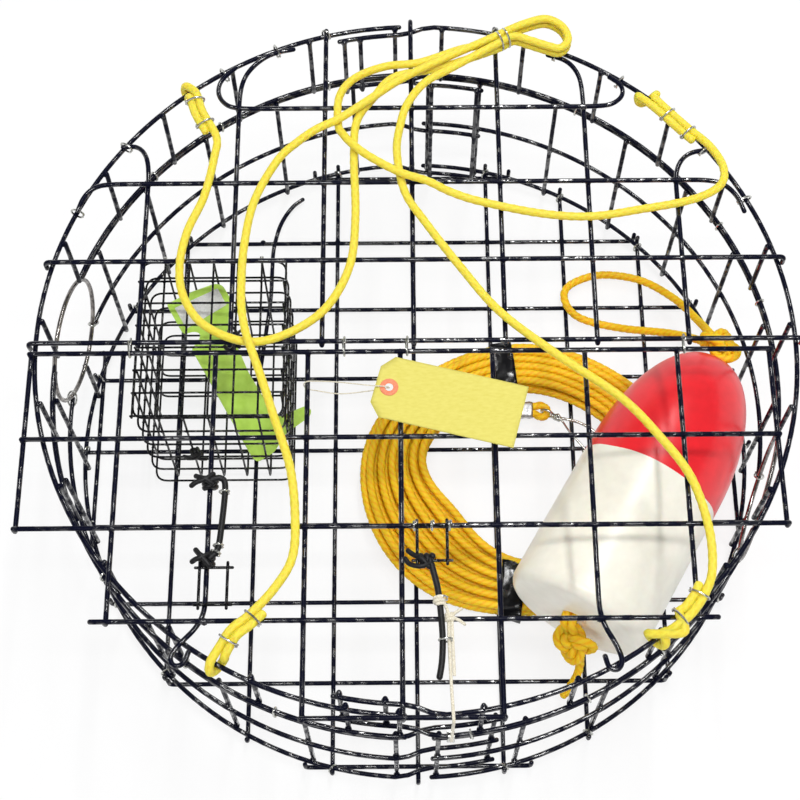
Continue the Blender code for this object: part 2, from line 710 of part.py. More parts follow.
def coil_points():
    """One rope laid in and out again, climbing where the spiral turns back."""
    points = []
    angle = math.radians(COIL_START)
    step = -2 * math.pi / COIL_POINTS
    base = FLOOR_TOP + COIL_RAISE + MAIN_LINE / 2
    for layer in range(COIL_LAYERS):
        inward = layer % 2 == 0
        count = round(COIL_TURNS * COIL_POINTS)
        for number in range(count):
            share = number / count
            side = 0.5 - share if inward else share - 0.5
            points.append((angle, side * COIL_WIDTH, base + layer * COIL_LAYER))
            angle += step
        if layer < COIL_LAYERS - 1:
            side = -0.5 if inward else 0.5
            for number in range(COIL_POINTS // 2):
                share = number / (COIL_POINTS // 2)
                rise = (layer + share) * COIL_LAYER
                points.append((angle, side * COIL_WIDTH, base + rise))
                angle += step
    x, y = COIL_CENTRE
    return [Vector((x + (COIL_HALF_X + side) * math.cos(turn), y + (COIL_HALF_Y + side) * math.sin(turn),
                    height)) for turn, side, height in points]


def least_gap(points, diameter, skip):
    """Least clear distance of a rope to itself, between points a few steps apart."""
    least = 1.0
    for first in range(len(points)):
        for second in range(first + skip, len(points)):
            least = min(least, (points[first] - points[second]).length)
    return least - diameter


def snap_point(along, across, up=0.0):
    """A place on the line snap, measured from its neck."""
    heading = math.radians(SNAP_HEADING)
    forward = Vector((math.cos(heading), math.sin(heading), SNAP_SLOPE)).normalized()
    left = Vector((-math.sin(heading), math.cos(heading), 0))
    return Vector(SNAP_NECK) + forward * along + left * across + forward.cross(left) * up


def make_main_line():
    """The coil, with its inner end turned back through the snap's eye."""
    points = coil_points()
    high = points[-1].z
    lane = MAIN_LINE / 2 + 0.0004
    tail = [(0.066, 0.0545, high), (0.080, 0.0565, high), (0.095, 0.0555, 0.0270),
            (0.110, 0.0525, 0.0190), (0.124, 0.0455 + lane, 0.0155), (0.142, 0.0450 + lane, 0.0155),
            (0.1510, 0.0500, 0.0180), (0.1580, 0.0450, 0.0185), (0.1570, 0.0370, 0.0185),
            (0.1500, 0.0350, 0.0180), (0.142, 0.0450 - lane, 0.0155), (0.124, 0.0455 - lane, 0.0155),
            (0.119, 0.0457 - lane, 0.0155)]
    points += bend([points[-1], *tail], 0.012, 24)[1:]
    print(f"main line: {len(points)} points, "
          f"least gap to itself {least_gap(points, MAIN_LINE, 6) * 1000:.2f} mm")
    place("main_line", smooth(tube(points, MAIN_LINE, 1)), "orange_rope")


def make_tapes():
    """Two bands of tape round the bundle of turns."""
    half_width = COIL_WIDTH / 2 + MAIN_LINE / 2 + 0.0024
    low = FLOOR_TOP + TAPE_THICK
    high = COIL_TOP + GAP
    for number, degrees in enumerate(TAPE_ANGLES):
        angle = math.radians(degrees)
        x = COIL_CENTRE[0] + COIL_HALF_X * math.cos(angle)
        y = COIL_CENTRE[1] + COIL_HALF_Y * math.sin(angle)
        tangent = Vector((-COIL_HALF_X * math.sin(angle), COIL_HALF_Y * math.cos(angle), 0))
        turn = Matrix.Rotation(math.atan2(tangent.y, tangent.x), 4, "Z")
        turn.translation = Vector((x, y, (low + high) / 2))
        tape = band(half_width, (high - low) / 2, TAPE_THICK, TAPE_WIDTH, turn, 0.0040)
        place(f"line_tape_{number + 1}", smooth(tape), "tape")


def make_buoy_line():
    """Rope through the buoy, knotted at both ends, with a loop at the nose."""
    turn = buoy_matrix()
    axis = (turn.to_3x3() @ Vector((0, 0, 1))).normalized()
    base = turn.translation
    stop = MAIN_LINE / 2 - 0.0006
    first = base - axis * stop
    last = base + axis * (BUOY_LENGTH + stop)
    tail = bend([base + axis * 0.03, base, first - axis * 0.012, (0.176, -0.272, 0.110),
                 (0.183, -0.284, 0.098), (0.180, -0.292, 0.082), (0.169, -0.297, 0.064)], 0.018)
    core = tube(tail[::-1] + [base + axis * step for step in (0.12, 0.24, BUOY_LENGTH)] + [last],
                MAIN_LINE, 1)
    right = axis.cross(Vector((0, 0, 1))) * (0.75 * MAIN_LINE)
    loop = bend([last + right, last + right + axis * 0.014, (0.3565, 0.096, 0.092),
                 (0.3430, 0.136, 0.060), (0.3200, 0.183, 0.034), (0.281, 0.219, 0.0165),
                 (0.232, 0.228, LINE_FLOOR_Z), (0.194, 0.214, LINE_FLOOR_Z),
                 (0.187, 0.193, LINE_FLOOR_Z), (0.204, 0.169, LINE_FLOOR_Z),
                 (0.252, 0.153, 0.0170), (0.307, 0.128, 0.052), (0.334, 0.100, 0.086),
                 last - right + axis * 0.014, last - right], 0.034, 30)
    line = place("buoy_line", smooth(core), "orange_rope")
    weld(line, tube(loop, MAIN_LINE, 1),
         knot(first, axis, KNOT_RADIUS, MAIN_LINE), knot(last, axis, KNOT_RADIUS, MAIN_LINE))


# Harness

def hitch(leg):
    """One turn round the top hoop, from the free end to the top of the hoop."""
    angle, drift = HITCHES[leg]
    points = []
    for turned in (-215, -180, -140, -100, -60, -20, 20, 55, 90):
        spin = math.radians(turned)
        around = angle + drift * (90 - turned) / 360
        points.append(polar(CAGE_RADIUS + HITCH_RADIUS * math.cos(spin), around,
                            CAGE_HEIGHT + HITCH_RADIUS * math.sin(spin)))
    return points


def harness_route(leg):
    """Leg from the hoop to the knot: x, y and the layer it lies in."""
    routes = {
        "a": [(-.236, .294, -.5), (-.228, .268, 0), (-.212, .236, 0), (-.213, .211, 0),
              (-.222, .162, 0), (-.238, .119, 0), (-.244, .078, 0), (-.238, .042, 0),
              (-.216, .010, 0), (-.174, -.009, 0), (-.134, -.002, 0), (-.093, .027, 0),
              (-.068, .076, 0), (-.062, .136, 0), (-.064, .210, 0), (-.061, .254, 0),
              (-.043, .284, 0), (-.020, .311, 0), (.030, .323, 0)],
        "b": [(-.187, -.324, -.5), (-.177, -.310, 0), (-.160, -.296, 0), (-.137, -.270, 0),
              (-.121, -.240, 0), (-.119, -.199, 0), (-.125, -.147, 0), (-.142, -.093, 0),
              (-.154, -.056, .4), (-.164, -.028, 1), (-.172, -.004, 1), (-.177, .022, 1),
              (-.179, .054, .3), (-.178, .101, 0), (-.169, .155, 0), (-.146, .204, .1),
              (-.124, .225, .6), (-.103, .239, 1), (-.079, .252, 1), (-.047, .276, 1),
              (-.014, .301, 1), (.030, .326, 1)],
        "c": [(.284, .263, -.85), (.300, .243, -.6), (.319, .219, -.2), (.330, .191, 0),
              (.323, .169, 0), (.292, .153, 0), (.238, .142, 0), (.185, .134, 0),
              (.133, .138, 0), (.070, .153, 0), (.038, .163, .4), (.014, .173, 1),
              (-.015, .184, 1), (-.046, .203, 1), (-.065, .219, 1), (-.075, .234, .5),
              (-.081, .250, 0), (-.080, .286, 0), (-.063, .310, 0), (-.030, .325, 0),
              (.008, .330, 0), (.053, .347, 0)],
        "d": [(.230, -.317, -.5), (.240, -.311, 0), (.258, -.299, 0), (.273, -.280, 0),
              (.281, -.254, 0), (.281, -.213, 0), (.268, -.161, 0), (.241, -.118, 0),
              (.204, -.074, 0), (.146, -.029, 0), (.087, .022, 0), (.047, .075, 0),
              (.011, .129, 0), (-.010, .166, 0), (-.018, .215, 0), (-.014, .245, .7),
              (-.006, .270, 1), (.013, .297, 1), (.041, .315, 1)],
    }
    return [Vector((x, y, ROPE_Z + HARNESS_STEP * layer)) for x, y, layer in routes[leg]]


def harness_eye(layer):
    """From the lower lane of the knot round the lifting eye to the upper lane."""
    run = Vector((0.88, 0.475, 0))
    side = Vector((-0.475, 0.88, 0)) * (HARNESS_ROPE / 2 + 0.0004)
    height = ROPE_Z + HARNESS_STEP * layer
    middle = Vector((*HARNESS_KNOT, height))
    around = [(.128, .352), (.146, .345), (.162, .341), (.171, .353), (.165, .370), (.148, .380),
              (.127, .375)]
    return [middle - run * 0.013 - side, middle + run * 0.010 - side,
            *[Vector((x, y, height)) for x, y in around],
            middle + run * 0.010 + side, middle - run * 0.013 + side]


def make_harness():
    """Two doubled ropes, one on the other: rear left to rear right, front left to front right."""
    eye = {"a": harness_eye(0), "b": harness_eye(1)[::-1]}
    for name, start, end in (("rear", "a", "c"), ("front", "b", "d")):
        corners = hitch(start) + harness_route(start) + eye[start]
        corners += (hitch(end) + harness_route(end))[::-1]
        points = bend(corners, 0.040, 21)
        print(f"harness {name}: {len(points)} points, "
              f"least gap to itself {least_gap(points, HARNESS_ROPE, 6) * 1000:.2f} mm")
        place(f"harness_{name}", smooth(tube(points, HARNESS_ROPE, 1)), "yellow_rope")
    centre = Vector((*HARNESS_KNOT, ROPE_Z + HARNESS_STEP / 2))
    across = math.hypot(HARNESS_ROPE / 2 + 0.0004, HARNESS_STEP / 2) + HARNESS_ROPE / 2
    clip = clip_mesh(centre, (0.88, 0.475, 0), (across + GAP + HOG_WIRE / 2) / 0.92, 20, 10)
    place("harness_clip", smooth(clip), "galvanised")


# Fastenings of the lid

def make_side_tie(pivot):
    """Rubber cord knotted twice to a lid bar, and a scrap of fine mesh beside it."""
    x = LID_BARS[2]
    high = ROOF_TOP + STRAP / 2
    top = Vector((x, -0.159, ROOF_BAR_Z))
    low = Vector((x, -0.239, ROOF_BAR_Z))
    radius = (CORNER + GAP + STRAP / 2) / 0.95
    cord = bend([top + Vector((0.003, 0, radius)), (x + 0.011, -0.160, high), (x + 0.015, -0.170, high),
                 (x + 0.014, -0.206, high), (x + 0.010, -0.228, high),
                 low + Vector((0.002, 0.001, radius))], 0.020, 34)
    tie = place("side_tie", knot(top, (0, 1, 0), radius, STRAP), "rubber", pivot)
    weld(tie, tube(cord, STRAP, 1), knot(low, (0, 1, 0), radius, STRAP))
    for number, (along, y) in enumerate(((0.015, -0.176), (0.0125, -0.219))):
        clip = clip_mesh((x + along, y, high), (0, 1, 0), STRAP / 2 + GAP + HOG_WIRE / 2 + 0.0008)
        place(f"side_tie_ring_{number + 1}", smooth(clip), "galvanised", pivot)
    make_mesh_scrap("side_mesh", (x - 0.006, x + 0.021), (-0.284, -0.247),
                    ROOF_BAR_Z + HALF + GAP + BAIT_WIRE / 2, pivot)


def make_mesh_scrap(name, span_x, span_y, height, pivot):
    """Four fine wires welded crosswise."""
    over = 0.004
    upper = height + 0.8 * BAIT_WIRE
    rows = [fine_wire([(span_x[0] - over, y, height), (span_x[1] + over, y, height)])
            for y in span_y]
    bars = [fine_wire([(x, span_y[0] - over, upper), (x, span_y[1] + over, upper)])
            for x in span_x]
    weld(place(name, gather(rows), "bait_wire", pivot), gather(bars))


def make_latch(pivot):
    """Mesh tab, rubber strap, cotton link and the flat hook under the wall's hoop."""
    row_y = LID_ROW_Y[2]
    tab_z = ROOF_TOP + BAIT_WIRE / 2
    tab_y = (-0.243, row_y - 0.001)
    make_mesh_scrap("latch_tab", (-0.001, 0.028), tab_y, tab_z, pivot)
    half_stack = (WIRE + GAP + BAIT_WIRE) / 2
    ring_radius = (math.hypot(HALF, half_stack) + GAP + HOG_WIRE / 2) / HOG_FLAT
    ring_z = (ROOF_ROW_Z - HALF + tab_z + BAIT_WIRE / 2) / 2
    ring = clip_mesh((0.014, row_y - 0.0005, ring_z), (1, 0, 0), ring_radius)
    place("latch_ring", smooth(ring), "galvanised", pivot)

    strap_z = ROOF_TOP + STRAP / 2
    eye = Vector((0.008, tab_y[0], tab_z))
    eye_radius = BAIT_WIRE / 2 + GAP + STRAP / 2 + 0.0002
    route = bend([eye + Vector((0, -0.001, eye_radius)), (0.014, -0.256, strap_z + 0.002),
                  (0.018, -0.275, strap_z), (0.021, -0.300, strap_z), (0.022, -0.322, strap_z),
                  (0.021, -0.342, strap_z - 0.001), (0.018, -0.358, strap_z - 0.002)], 0.020, 34)
    strap = place("latch_strap", knot(eye, (1, 0, 0), eye_radius, STRAP), "rubber", pivot)
    weld(strap, tube(route, STRAP, 1))

    hook_y = -math.sqrt((CAGE_RADIUS + HALF) ** 2 - HOOK_X ** 2) - GAP - HOOK_THICK / 2
    hole_z = UPPER_HOOP_Z + HALF + 0.008
    outer_y = LID_ROW_Y[4] - HALF - GAP - COTTON / 2
    over_z = ROOF_TOP + COTTON / 2
    hitch_at = Vector((0.0195, -0.284, strap_z))
    hitch_radius = STRAP / 2 + GAP + COTTON / 2 + 0.0002
    cord = bend([hitch_at + Vector((hitch_radius, -0.001, 0)), (0.0275, -0.296, over_z + 0.001),
                 (0.0275, -0.322, over_z + 0.001), (0.029, -0.355, over_z), (0.0305, -0.388, over_z),
                 (HOOK_X, LID_ROW_Y[4] - HALF, over_z + 0.0004),
                 (HOOK_X, outer_y - 0.0005, over_z - 0.0012), (HOOK_X, outer_y - 0.0005, ROOF_BAR_Z),
                 (HOOK_X, hook_y - 0.005, CAGE_HEIGHT - 0.018),
                 (HOOK_X, hook_y - 0.005, (CAGE_HEIGHT + hole_z) / 2 - 0.018),
                 (HOOK_X, hook_y - 0.0045, hole_z + 0.006), (HOOK_X, hook_y - 0.002, hole_z),
                 (HOOK_X, hook_y + 0.002, hole_z), (HOOK_X, hook_y + 0.006, hole_z)], 0.020, 28)
    end = Vector((HOOK_X, hook_y + HOOK_THICK / 2 + GAP + COTTON / 2 + 0.0003, hole_z))
    link = place("cotton_link", knot(hitch_at, (0.03, -1, 0), hitch_radius, COTTON), "cotton", pivot)
    weld(link, tube(cord, COTTON), knot(end, (0, 1, 0), 0.0022, COTTON))
    bind = clip_mesh(((0.0219 + 0.0275) / 2 - 0.0005, -0.322, strap_z - 0.0002), (0, 1, 0),
                     (STRAP + COTTON + 0.0016) / 2 + GAP + HOG_WIRE / 2)
    place("strap_ring", smooth(bind), "galvanised", pivot)
    make_hook(hook_y, hole_z)


def make_hook(shank_y, hole_z):
    """Bent flat strip: shank outside the hoops, tip up inside the lower one."""
    under_z = LAP_HOOP_Z - HALF - GAP - HOOK_THICK / 2
    tip_y = -math.sqrt((CAGE_RADIUS - HALF) ** 2 - HOOK_X ** 2) + GAP + HOOK_THICK / 2 + 0.0014
    corner = 0.14 * HOOK_BEND
    line = [(shank_y, hole_z + 0.007), (shank_y, under_z + HOOK_BEND),
            (shank_y + corner, under_z + corner), (shank_y + HOOK_BEND, under_z),
            (tip_y - HOOK_BEND, under_z), (tip_y - corner, under_z + corner),
            (tip_y, under_z + HOOK_BEND), (tip_y, under_z + HOOK_TIP)]
    work = bmesh.new()
    columns = [[work.verts.new((HOOK_X + side * HOOK_WIDTH / 2, y, z)) for side in (-1, 1)]
               for y, z in line]
    for first, second in zip(columns, columns[1:]):
        work.faces.new((first[0], first[1], second[1], second[0]))
    mesh = bpy.data.meshes.new("hook")
    work.to_mesh(mesh)
    work.free()
    pivot = make_pivot("hook_pivot", (HOOK_X, shank_y, hole_z))
    hook = place("latch_hook", mesh, "galvanised", pivot)
    strip = hook.modifiers.new("strip", "SOLIDIFY")
    strip.thickness = HOOK_THICK
    strip.offset = 0
    drill = tube([(HOOK_X, shank_y - 0.01, hole_z), (HOOK_X, shank_y + 0.01, hole_z)], HOOK_HOLE, 3)
    combine(hook, drill, "hole", "DIFFERENCE")


# Tag

def make_tag(pivot):
    """Card tag with clipped corners, tied to a lid bar by a cord through its eyelet."""
    turn = Matrix.Rotation(math.radians(TAG_ANGLE), 4, "Z")
    turn.translation = Vector((*TAG_CENTRE, ROOF_TOP + TAG_THICK / 2))
    long, wide = TAG_LENGTH / 2, TAG_WIDTH / 2
    outline = [(-long, -wide + 0.014), (-long + 0.012, -wide), (long, -wide), (long, wide),
               (-long + 0.012, wide), (-long, wide - 0.014)]
    work = bmesh.new()
    work.faces.new([work.verts.new(turn @ Vector((x, y, 0))) for x, y in outline])
    mesh = bpy.data.meshes.new("tag")
    work.to_mesh(mesh)
    work.free()
    axis = make_pivot("tag_pivot", (LID_BARS[3], TAG_CENTRE[1] + 0.020, ROOF_BAR_Z))
    axis.parent = pivot
    axis.matrix_parent_inverse = Matrix.Translation(pivot.location).inverted()
    tag = place("tag", mesh, "tag_card")
    card = tag.modifiers.new("thickness", "SOLIDIFY")
    card.thickness = TAG_THICK
    card.offset = 0
    hole = turn @ Vector((-long + 0.014, 0, 0))
    punch = tube([hole - Vector((0, 0, 0.01)), hole + Vector((0, 0, 0.01))], 2 * TAG_HOLE, 4)
    combine(tag, punch, "hole", "DIFFERENCE")
    bar = LID_BARS[3]
    round_bar = CORNER + GAP + TAG_CORD / 2 + 0.0010
    above = hole.z + TAG_THICK / 2 + GAP + TAG_CORD / 2
    below = hole.z - TAG_THICK / 2 - GAP - TAG_CORD / 2 - 0.0008
    y = hole.y
    loop = bend([(hole.x - 0.001, y, hole.z), (hole.x - 0.003, y, above),
                 (hole.x - 0.018, y + 0.001, above), (bar + 0.030, y + 0.004, ROOF_TOP + 0.001),
                 (bar + 0.004, y + 0.005, ROOF_BAR_Z + round_bar), (bar, y + 0.005, ROOF_BAR_Z + round_bar),
                 (bar - 0.75 * round_bar, y + 0.005, ROOF_BAR_Z + 0.75 * round_bar),
                 (bar - round_bar, y + 0.005, ROOF_BAR_Z),
                 (bar - 0.75 * round_bar, y + 0.005, ROOF_BAR_Z - 0.75 * round_bar),
                 (bar, y + 0.004, ROOF_BAR_Z - round_bar),
                 (bar + 0.006, y + 0.004, ROOF_BAR_Z - round_bar + 0.0005),
                 (bar + 0.034, y - 0.001, ROOF_BAR_Z), (hole.x - 0.020, y - 0.001, below - 0.001),
                 (hole.x - 0.003, y, below), (hole.x - 0.001, y, hole.z)], 0.009, 30)
    cord = place("tag_cord", smooth(tube(loop[:-1], TAG_CORD, closed=True)), "cotton")
    for piece in (tag, cord):
        piece.parent = axis
        piece.matrix_parent_inverse = Matrix.Translation(axis.location).inverted()


# Line snap

def make_line_snap():
    """Wire snap: eye, barrel, open hook and a gate that swings on a pin."""
    heading = Matrix.Rotation(math.radians(SNAP_HEADING), 4, "Z")
    upright = heading @ Matrix.Rotation(math.radians(90), 4, "X")
    upright.translation = snap_point(-SNAP_EYE_RADIUS - 0.0005, 0)
    frame = [snap_point(along, across) for along, across in
             ((0.004, 0.0), (0.012, 0.0030), (0.028, 0.0070), (0.044, 0.0070), (0.056, 0.0030),
              (0.0615, -0.005), (0.061, -0.014), (0.056, -0.021), (0.049, -0.0236))]
    body = place("snap_body", smooth(tube(bend(frame, 0.012, 26), SNAP_WIRE, 1)), "galvanised")
    barrel = tube([snap_point(along, 0) for along in (-0.002, 0.008)], SNAP_BARREL, 2)
    pin = tube([snap_point(0.004, 0, up) for up in (0.0, 0.0085)], SNAP_PIN, 1)
    weld(body, ring_mesh(SNAP_EYE_RADIUS, SNAP_EYE_WIRE, upright), barrel, pin)

    root = snap_point(0.004, 0, 0.0058)
    normal = snap_point(0, 0, 1) - snap_point(0, 0, 0)
    arm = bend([snap_point(*corner) for corner in
                ((0.0062, -0.001, 0.0058), (0.012, -0.0035, 0.0052), (0.020, -0.0070, 0.0016),
                 (0.027, -0.0100, 0.0), (0.038, -0.0148, 0.0), (0.050, -0.0200, 0.0))], 0.020, 20)
    pivot = make_pivot("gate_pivot", root)
    gate = place("snap_gate", knot(root, normal, 0.0026, 0.0020), "galvanised", pivot)
    weld(gate, tube(arm, 0.0026, 1))

    turn = Matrix.Rotation(math.radians(-1.6), 4, "Z")
    turn.translation = Vector((0.133, 0.04525, 0.0155))
    sleeve = band(MAIN_LINE + 0.0008, MAIN_LINE / 2 + 0.0004, 0.0012, 0.015, turn, 0.0043)
    place("line_sleeve", smooth(sleeve), "galvanised")


def main():
    clear_scene()
    make_floor()
    make_wall()
    make_entry_rings()
    make_roof()
    pivot = make_pivot("lid_pivot", (0, ROOF_EDGE_Y, ROOF_ROW_Z))
    make_lid(pivot)
    make_hinge_clips(pivot)
    make_cage_clips()
    make_ring_clips()
    make_bait_cage()
    make_gauge()
    make_buoy()
    make_main_line()
    make_tapes()
    make_buoy_line()
    make_harness()
    make_side_tie(pivot)
    make_latch(pivot)
    make_tag(pivot)
    make_line_snap()


PARTS = make_collection("crab_trap")
CUTTERS = make_collection("wire_sets")
main()
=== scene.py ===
"""Round crab trap: the finished look of every piece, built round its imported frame."""

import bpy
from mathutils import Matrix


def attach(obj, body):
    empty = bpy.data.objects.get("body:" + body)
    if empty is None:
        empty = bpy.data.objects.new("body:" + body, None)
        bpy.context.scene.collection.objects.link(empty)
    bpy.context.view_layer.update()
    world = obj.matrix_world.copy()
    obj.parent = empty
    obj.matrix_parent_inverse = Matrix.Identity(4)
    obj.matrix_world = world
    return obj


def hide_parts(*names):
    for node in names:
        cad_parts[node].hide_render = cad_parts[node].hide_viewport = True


bl_info = {
    "name": "Crab Trap",
    "version": (1, 0, 0),
    "blender": (4, 5, 0),
    "location": "3D Viewport > Sidebar > Crab Trap",
    "description": "Dresses a welded wire crab trap: coated wires, ropes, bait cage and float",
    "category": "Add Mesh",
}

import math

import bmesh
import bpy
import numpy as np
from mathutils import Matrix, Vector, geometry

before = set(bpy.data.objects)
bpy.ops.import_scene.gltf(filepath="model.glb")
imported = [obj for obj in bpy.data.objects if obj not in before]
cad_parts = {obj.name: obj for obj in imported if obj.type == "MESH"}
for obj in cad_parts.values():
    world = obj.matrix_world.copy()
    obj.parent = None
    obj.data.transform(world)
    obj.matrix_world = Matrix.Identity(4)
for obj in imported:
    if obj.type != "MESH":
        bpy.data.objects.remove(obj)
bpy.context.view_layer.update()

MM = 0.001

# Cage, in metres, as in the frame
CAGE_RADIUS = 0.390
CAGE_HEIGHT = 0.303
MESH_PITCH = 0.094
WALL_BARS = 26
WIRE = 0.0052
GAP = 0.0003
WELD_SINK = 0.0009
LAP_START, LAP_END, LAP_EASE, LAP_CLEARANCE = 77.6, 87.9, 5.5, 0.0010
RING_WIRE, RING_RADIUS, RING_RISE = 0.0050, 0.0685, 0.0557
RING_ANGLES = {"left": 169.6, "right": -18.8}
ROOF_SHIFT, LID_SHIFT, LID_EDGE = -0.002, -0.016, 0.012
HINGE_CLIPS = (-0.291, -0.073, -0.009, 0.273)
# Hog rings by what they hold: half length, half width and the angle of the mouth
HOG_WIRE = 0.0022
HINGE_HOG, ENTRY_HOG = (0.0104, 0.0052, 60), (0.0094, 0.0050, 40)
SEAM_HOG, HOOP_HOG = (0.0072, 0.0043, 150), (0.0073, 0.0052, 150)

HALF = WIRE / 2
CROSS = WIRE - WELD_SINK
FLOOR_ROW_Z = HALF
FLOOR_BAR_Z = FLOOR_ROW_Z + CROSS
FLOOR_TOP = FLOOR_BAR_Z + HALF + GAP
BASE_HOOP_Z = FLOOR_TOP + HALF
WALL_ROW = (CAGE_HEIGHT - BASE_HOOP_Z) / 3
MID_HOOP_Z = BASE_HOOP_Z + WALL_ROW
RING_HEIGHT = MID_HOOP_Z + RING_RISE
LAP_HOOP_Z = BASE_HOOP_Z + 2 * WALL_ROW
UPPER_HOOP_Z = LAP_HOOP_Z + WIRE + GAP
ROOF_BAR_Z = CAGE_HEIGHT + WIRE + GAP
ROOF_ROW_Z = ROOF_BAR_Z + CROSS
ROOF_TOP = ROOF_ROW_Z + HALF + GAP
ROOF_EDGE_Y = -0.006
LID_EDGE_Y = ROOF_EDGE_Y - LID_EDGE
LAP_TUCK = CROSS + WIRE + LAP_CLEARANCE
BAR_STEP = 360 / WALL_BARS
RIM = 0.3958                  # wire ends are turned over outside the hoops here
LID_BARS = [LID_SHIFT + MESH_PITCH * step for step in range(-4, 5)]
LID_ROW_Y = [LID_EDGE_Y - MESH_PITCH * step for step in range(5)]

# Bait cage and gauge
BAIT_WIRE, BAIT_WIDTH, BAIT_DEPTH, BAIT_HEIGHT = 0.0030, 0.162, 0.190, 0.186
BAIT_CORNER = (-0.305, -0.040)
BAIT_CELLS, BAIT_ROUND, BAIT_BEND = (6, 7, 5), 0.0025, 0.010
GAUGE_THICK, GAUGE_MIDDLE = 0.0030, 0.034
GAUGE_FOOT = (-0.160, -0.002)
GAUGE_HEAD = (-0.252, 0.133, 0.165)

# Float
BUOY_DIAMETER, BUOY_LENGTH, BUOY_BORE = 0.160, 0.345, 0.020
BUOY_IN, BUOY_PLACE, BUOY_HEADING = 0.118, -20.25, 59.6

# Ropes
HARNESS_ROPE, HARNESS_STEP = 0.0090, 0.0094
HARNESS_KNOT = (0.100, 0.3565)
KNOT_RUN, KNOT_SIDE = Vector((0.88, 0.475, 0)), Vector((-0.475, 0.88, 0))
HITCHES = {"a": (128.7, 1.6), "b": (-120.1, 1.6), "c": (47.3, 3.0), "d": (-53.8, -1.8)}
HITCH_RADIUS = HALF * math.sqrt(2) + GAP + HARNESS_ROPE / 2 + 0.0005
ROPE_Z = ROOF_TOP + HARNESS_ROPE / 2
MAIN_LINE, LINE_SWELL, STRAND_DEPTH = 0.0084, 1.19, 0.12
COIL_CENTRE = (0.125, -0.045)
COIL_HALF_X, COIL_HALF_Y = 0.152, 0.141
COIL_LAYERS, COIL_TURNS, COIL_WIDTH, COIL_LAYER = 3, 5.5, 0.0510, 0.0094
COIL_START, COIL_END, COIL_RAISE, COIL_STEPS = 25, 125, 0.0012, 48
COIL_WIDER, COIL_SLUMP, COIL_SLUMPED = 0.20, 0.60, 219
TAPE_ANGLES, TAPE_WIDTH = (-96.6, 96.8), 0.026
COIL_TOP = FLOOR_TOP + COIL_RAISE + MAIN_LINE + COIL_LAYER * (COIL_LAYERS - 1)
LINE_FLOOR_Z = FLOOR_TOP + MAIN_LINE / 2

# Tag, latch and snap
TAG_LENGTH, TAG_WIDTH, TAG_CUT = 0.150, 0.069, (0.012, 0.014)
TAG_CENTRE, TAG_ANGLE = (0.0315, -0.0755), -14.9
TAG_HOLE, TAG_HOLE_IN, TAG_STRING = 0.0045, 0.014, 0.0007
STRAP, COTTON = 0.0062, 0.0034
HOOK_X, HOOK_THICK, HOOK_WIDTH = 0.031, 0.0020, 0.0080
SNAP_NECK = (0.1665, 0.0353, 0.0185)
SNAP_HEADING, SNAP_SLOPE, SNAP_WIRE = -26.2, -0.124, 0.0035
SLEEVE_PLACE, SLEEVE_TURN, SLEEVE_LENGTH = (0.133, 0.04525, 0.0155), -1.6, 0.017

# Camera, fitted to the crossings of the net, and floor
LENS, SENSOR, LENS_SHIFT = 74.68, 36.0, (-0.0084, -0.0011)
CAMERA_PLACE = (-0.0139, -0.7482, 1.8360)
CAMERA_HEADING, CAMERA_DOWN, CAMERA_ROLL = -0.348, 66.04, -0.133
FLOOR_REACH, FLOOR_DROP = 6, 0.0004


def linear(code):
    """A hex colour as linear values."""
    channels = [int(code[place:place + 2], 16) / 255 for place in (1, 3, 5)]
    return tuple(c / 12.92 if c <= 0.04045 else ((c + 0.055) / 1.055) ** 2.4 for c in channels)


# ---- settings a user would change


class TrapWireSettings(bpy.types.PropertyGroup):
    """Look of the coated wires."""
    coat: bpy.props.FloatVectorProperty(name="Coat", description="Colour of the vinyl coat",
                                        subtype="COLOR", size=3, min=0, max=1,
                                        default=linear("#090B1C"))
    bead: bpy.props.FloatProperty(name="Bead", description="Radius of vinyl gathered at a weld",
                                  subtype="DISTANCE", unit="LENGTH", default=0.0034,
                                  min=0.0, max=0.01)
    sides: bpy.props.IntProperty(name="Sides", description="Faces round a wire", default=10,
                                 min=6, max=32)


class TrapRopeSettings(bpy.types.PropertyGroup):
    """Look of the ropes."""
    harness: bpy.props.FloatVectorProperty(name="Harness", description="Colour of the harness rope",
                                           subtype="COLOR", size=3, min=0, max=1,
                                           default=linear("#ECDE50"))
    line: bpy.props.FloatVectorProperty(name="Line", description="Colour of the main line",
                                        subtype="COLOR", size=3, min=0, max=1,
                                        default=linear("#FFD024"))
    lay: bpy.props.FloatProperty(name="Lay", description="Length of one full turn of the strands",
                                 subtype="DISTANCE", unit="LENGTH", default=0.026,
                                 min=0.01, max=0.1)


class TrapFloatSettings(bpy.types.PropertyGroup):
    """Look of the float."""
    nose: bpy.props.FloatVectorProperty(name="Nose", description="Colour of the nose end",
                                        subtype="COLOR", size=3, min=0, max=1,
                                        default=linear("#F0242E"))
    body: bpy.props.FloatVectorProperty(name="Body", description="Colour of the base end",
                                        subtype="COLOR", size=3, min=0, max=1,
                                        default=linear("#FDF8EA"))
    border: bpy.props.FloatProperty(name="Border", description="Share of the length left pale",
                                    subtype="FACTOR", default=0.50, min=0, max=1)


class TrapStageSettings(bpy.types.PropertyGroup):
    """Light and floor."""
    lamp: bpy.props.FloatProperty(name="Lamp", description="Power of each overhead strip",
                                  unit="POWER", default=120.0, min=0.0, max=500.0)
    ceiling: bpy.props.FloatProperty(name="Ceiling", description="Light from above the white walls",
                                     default=0.18, min=0.0, max=1.0)


# ---- paths


def even(points, step):
    """Points a steady distance apart along a path."""
    points = np.asarray(points, float)
    run = np.concatenate(([0.0], np.cumsum(np.linalg.norm(np.diff(points, axis=0), axis=1))))
    places = np.linspace(0.0, run[-1], max(2, round(run[-1] / step) + 1))
    return np.stack([np.interp(places, run, points[:, axis]) for axis in range(3)], axis=1)


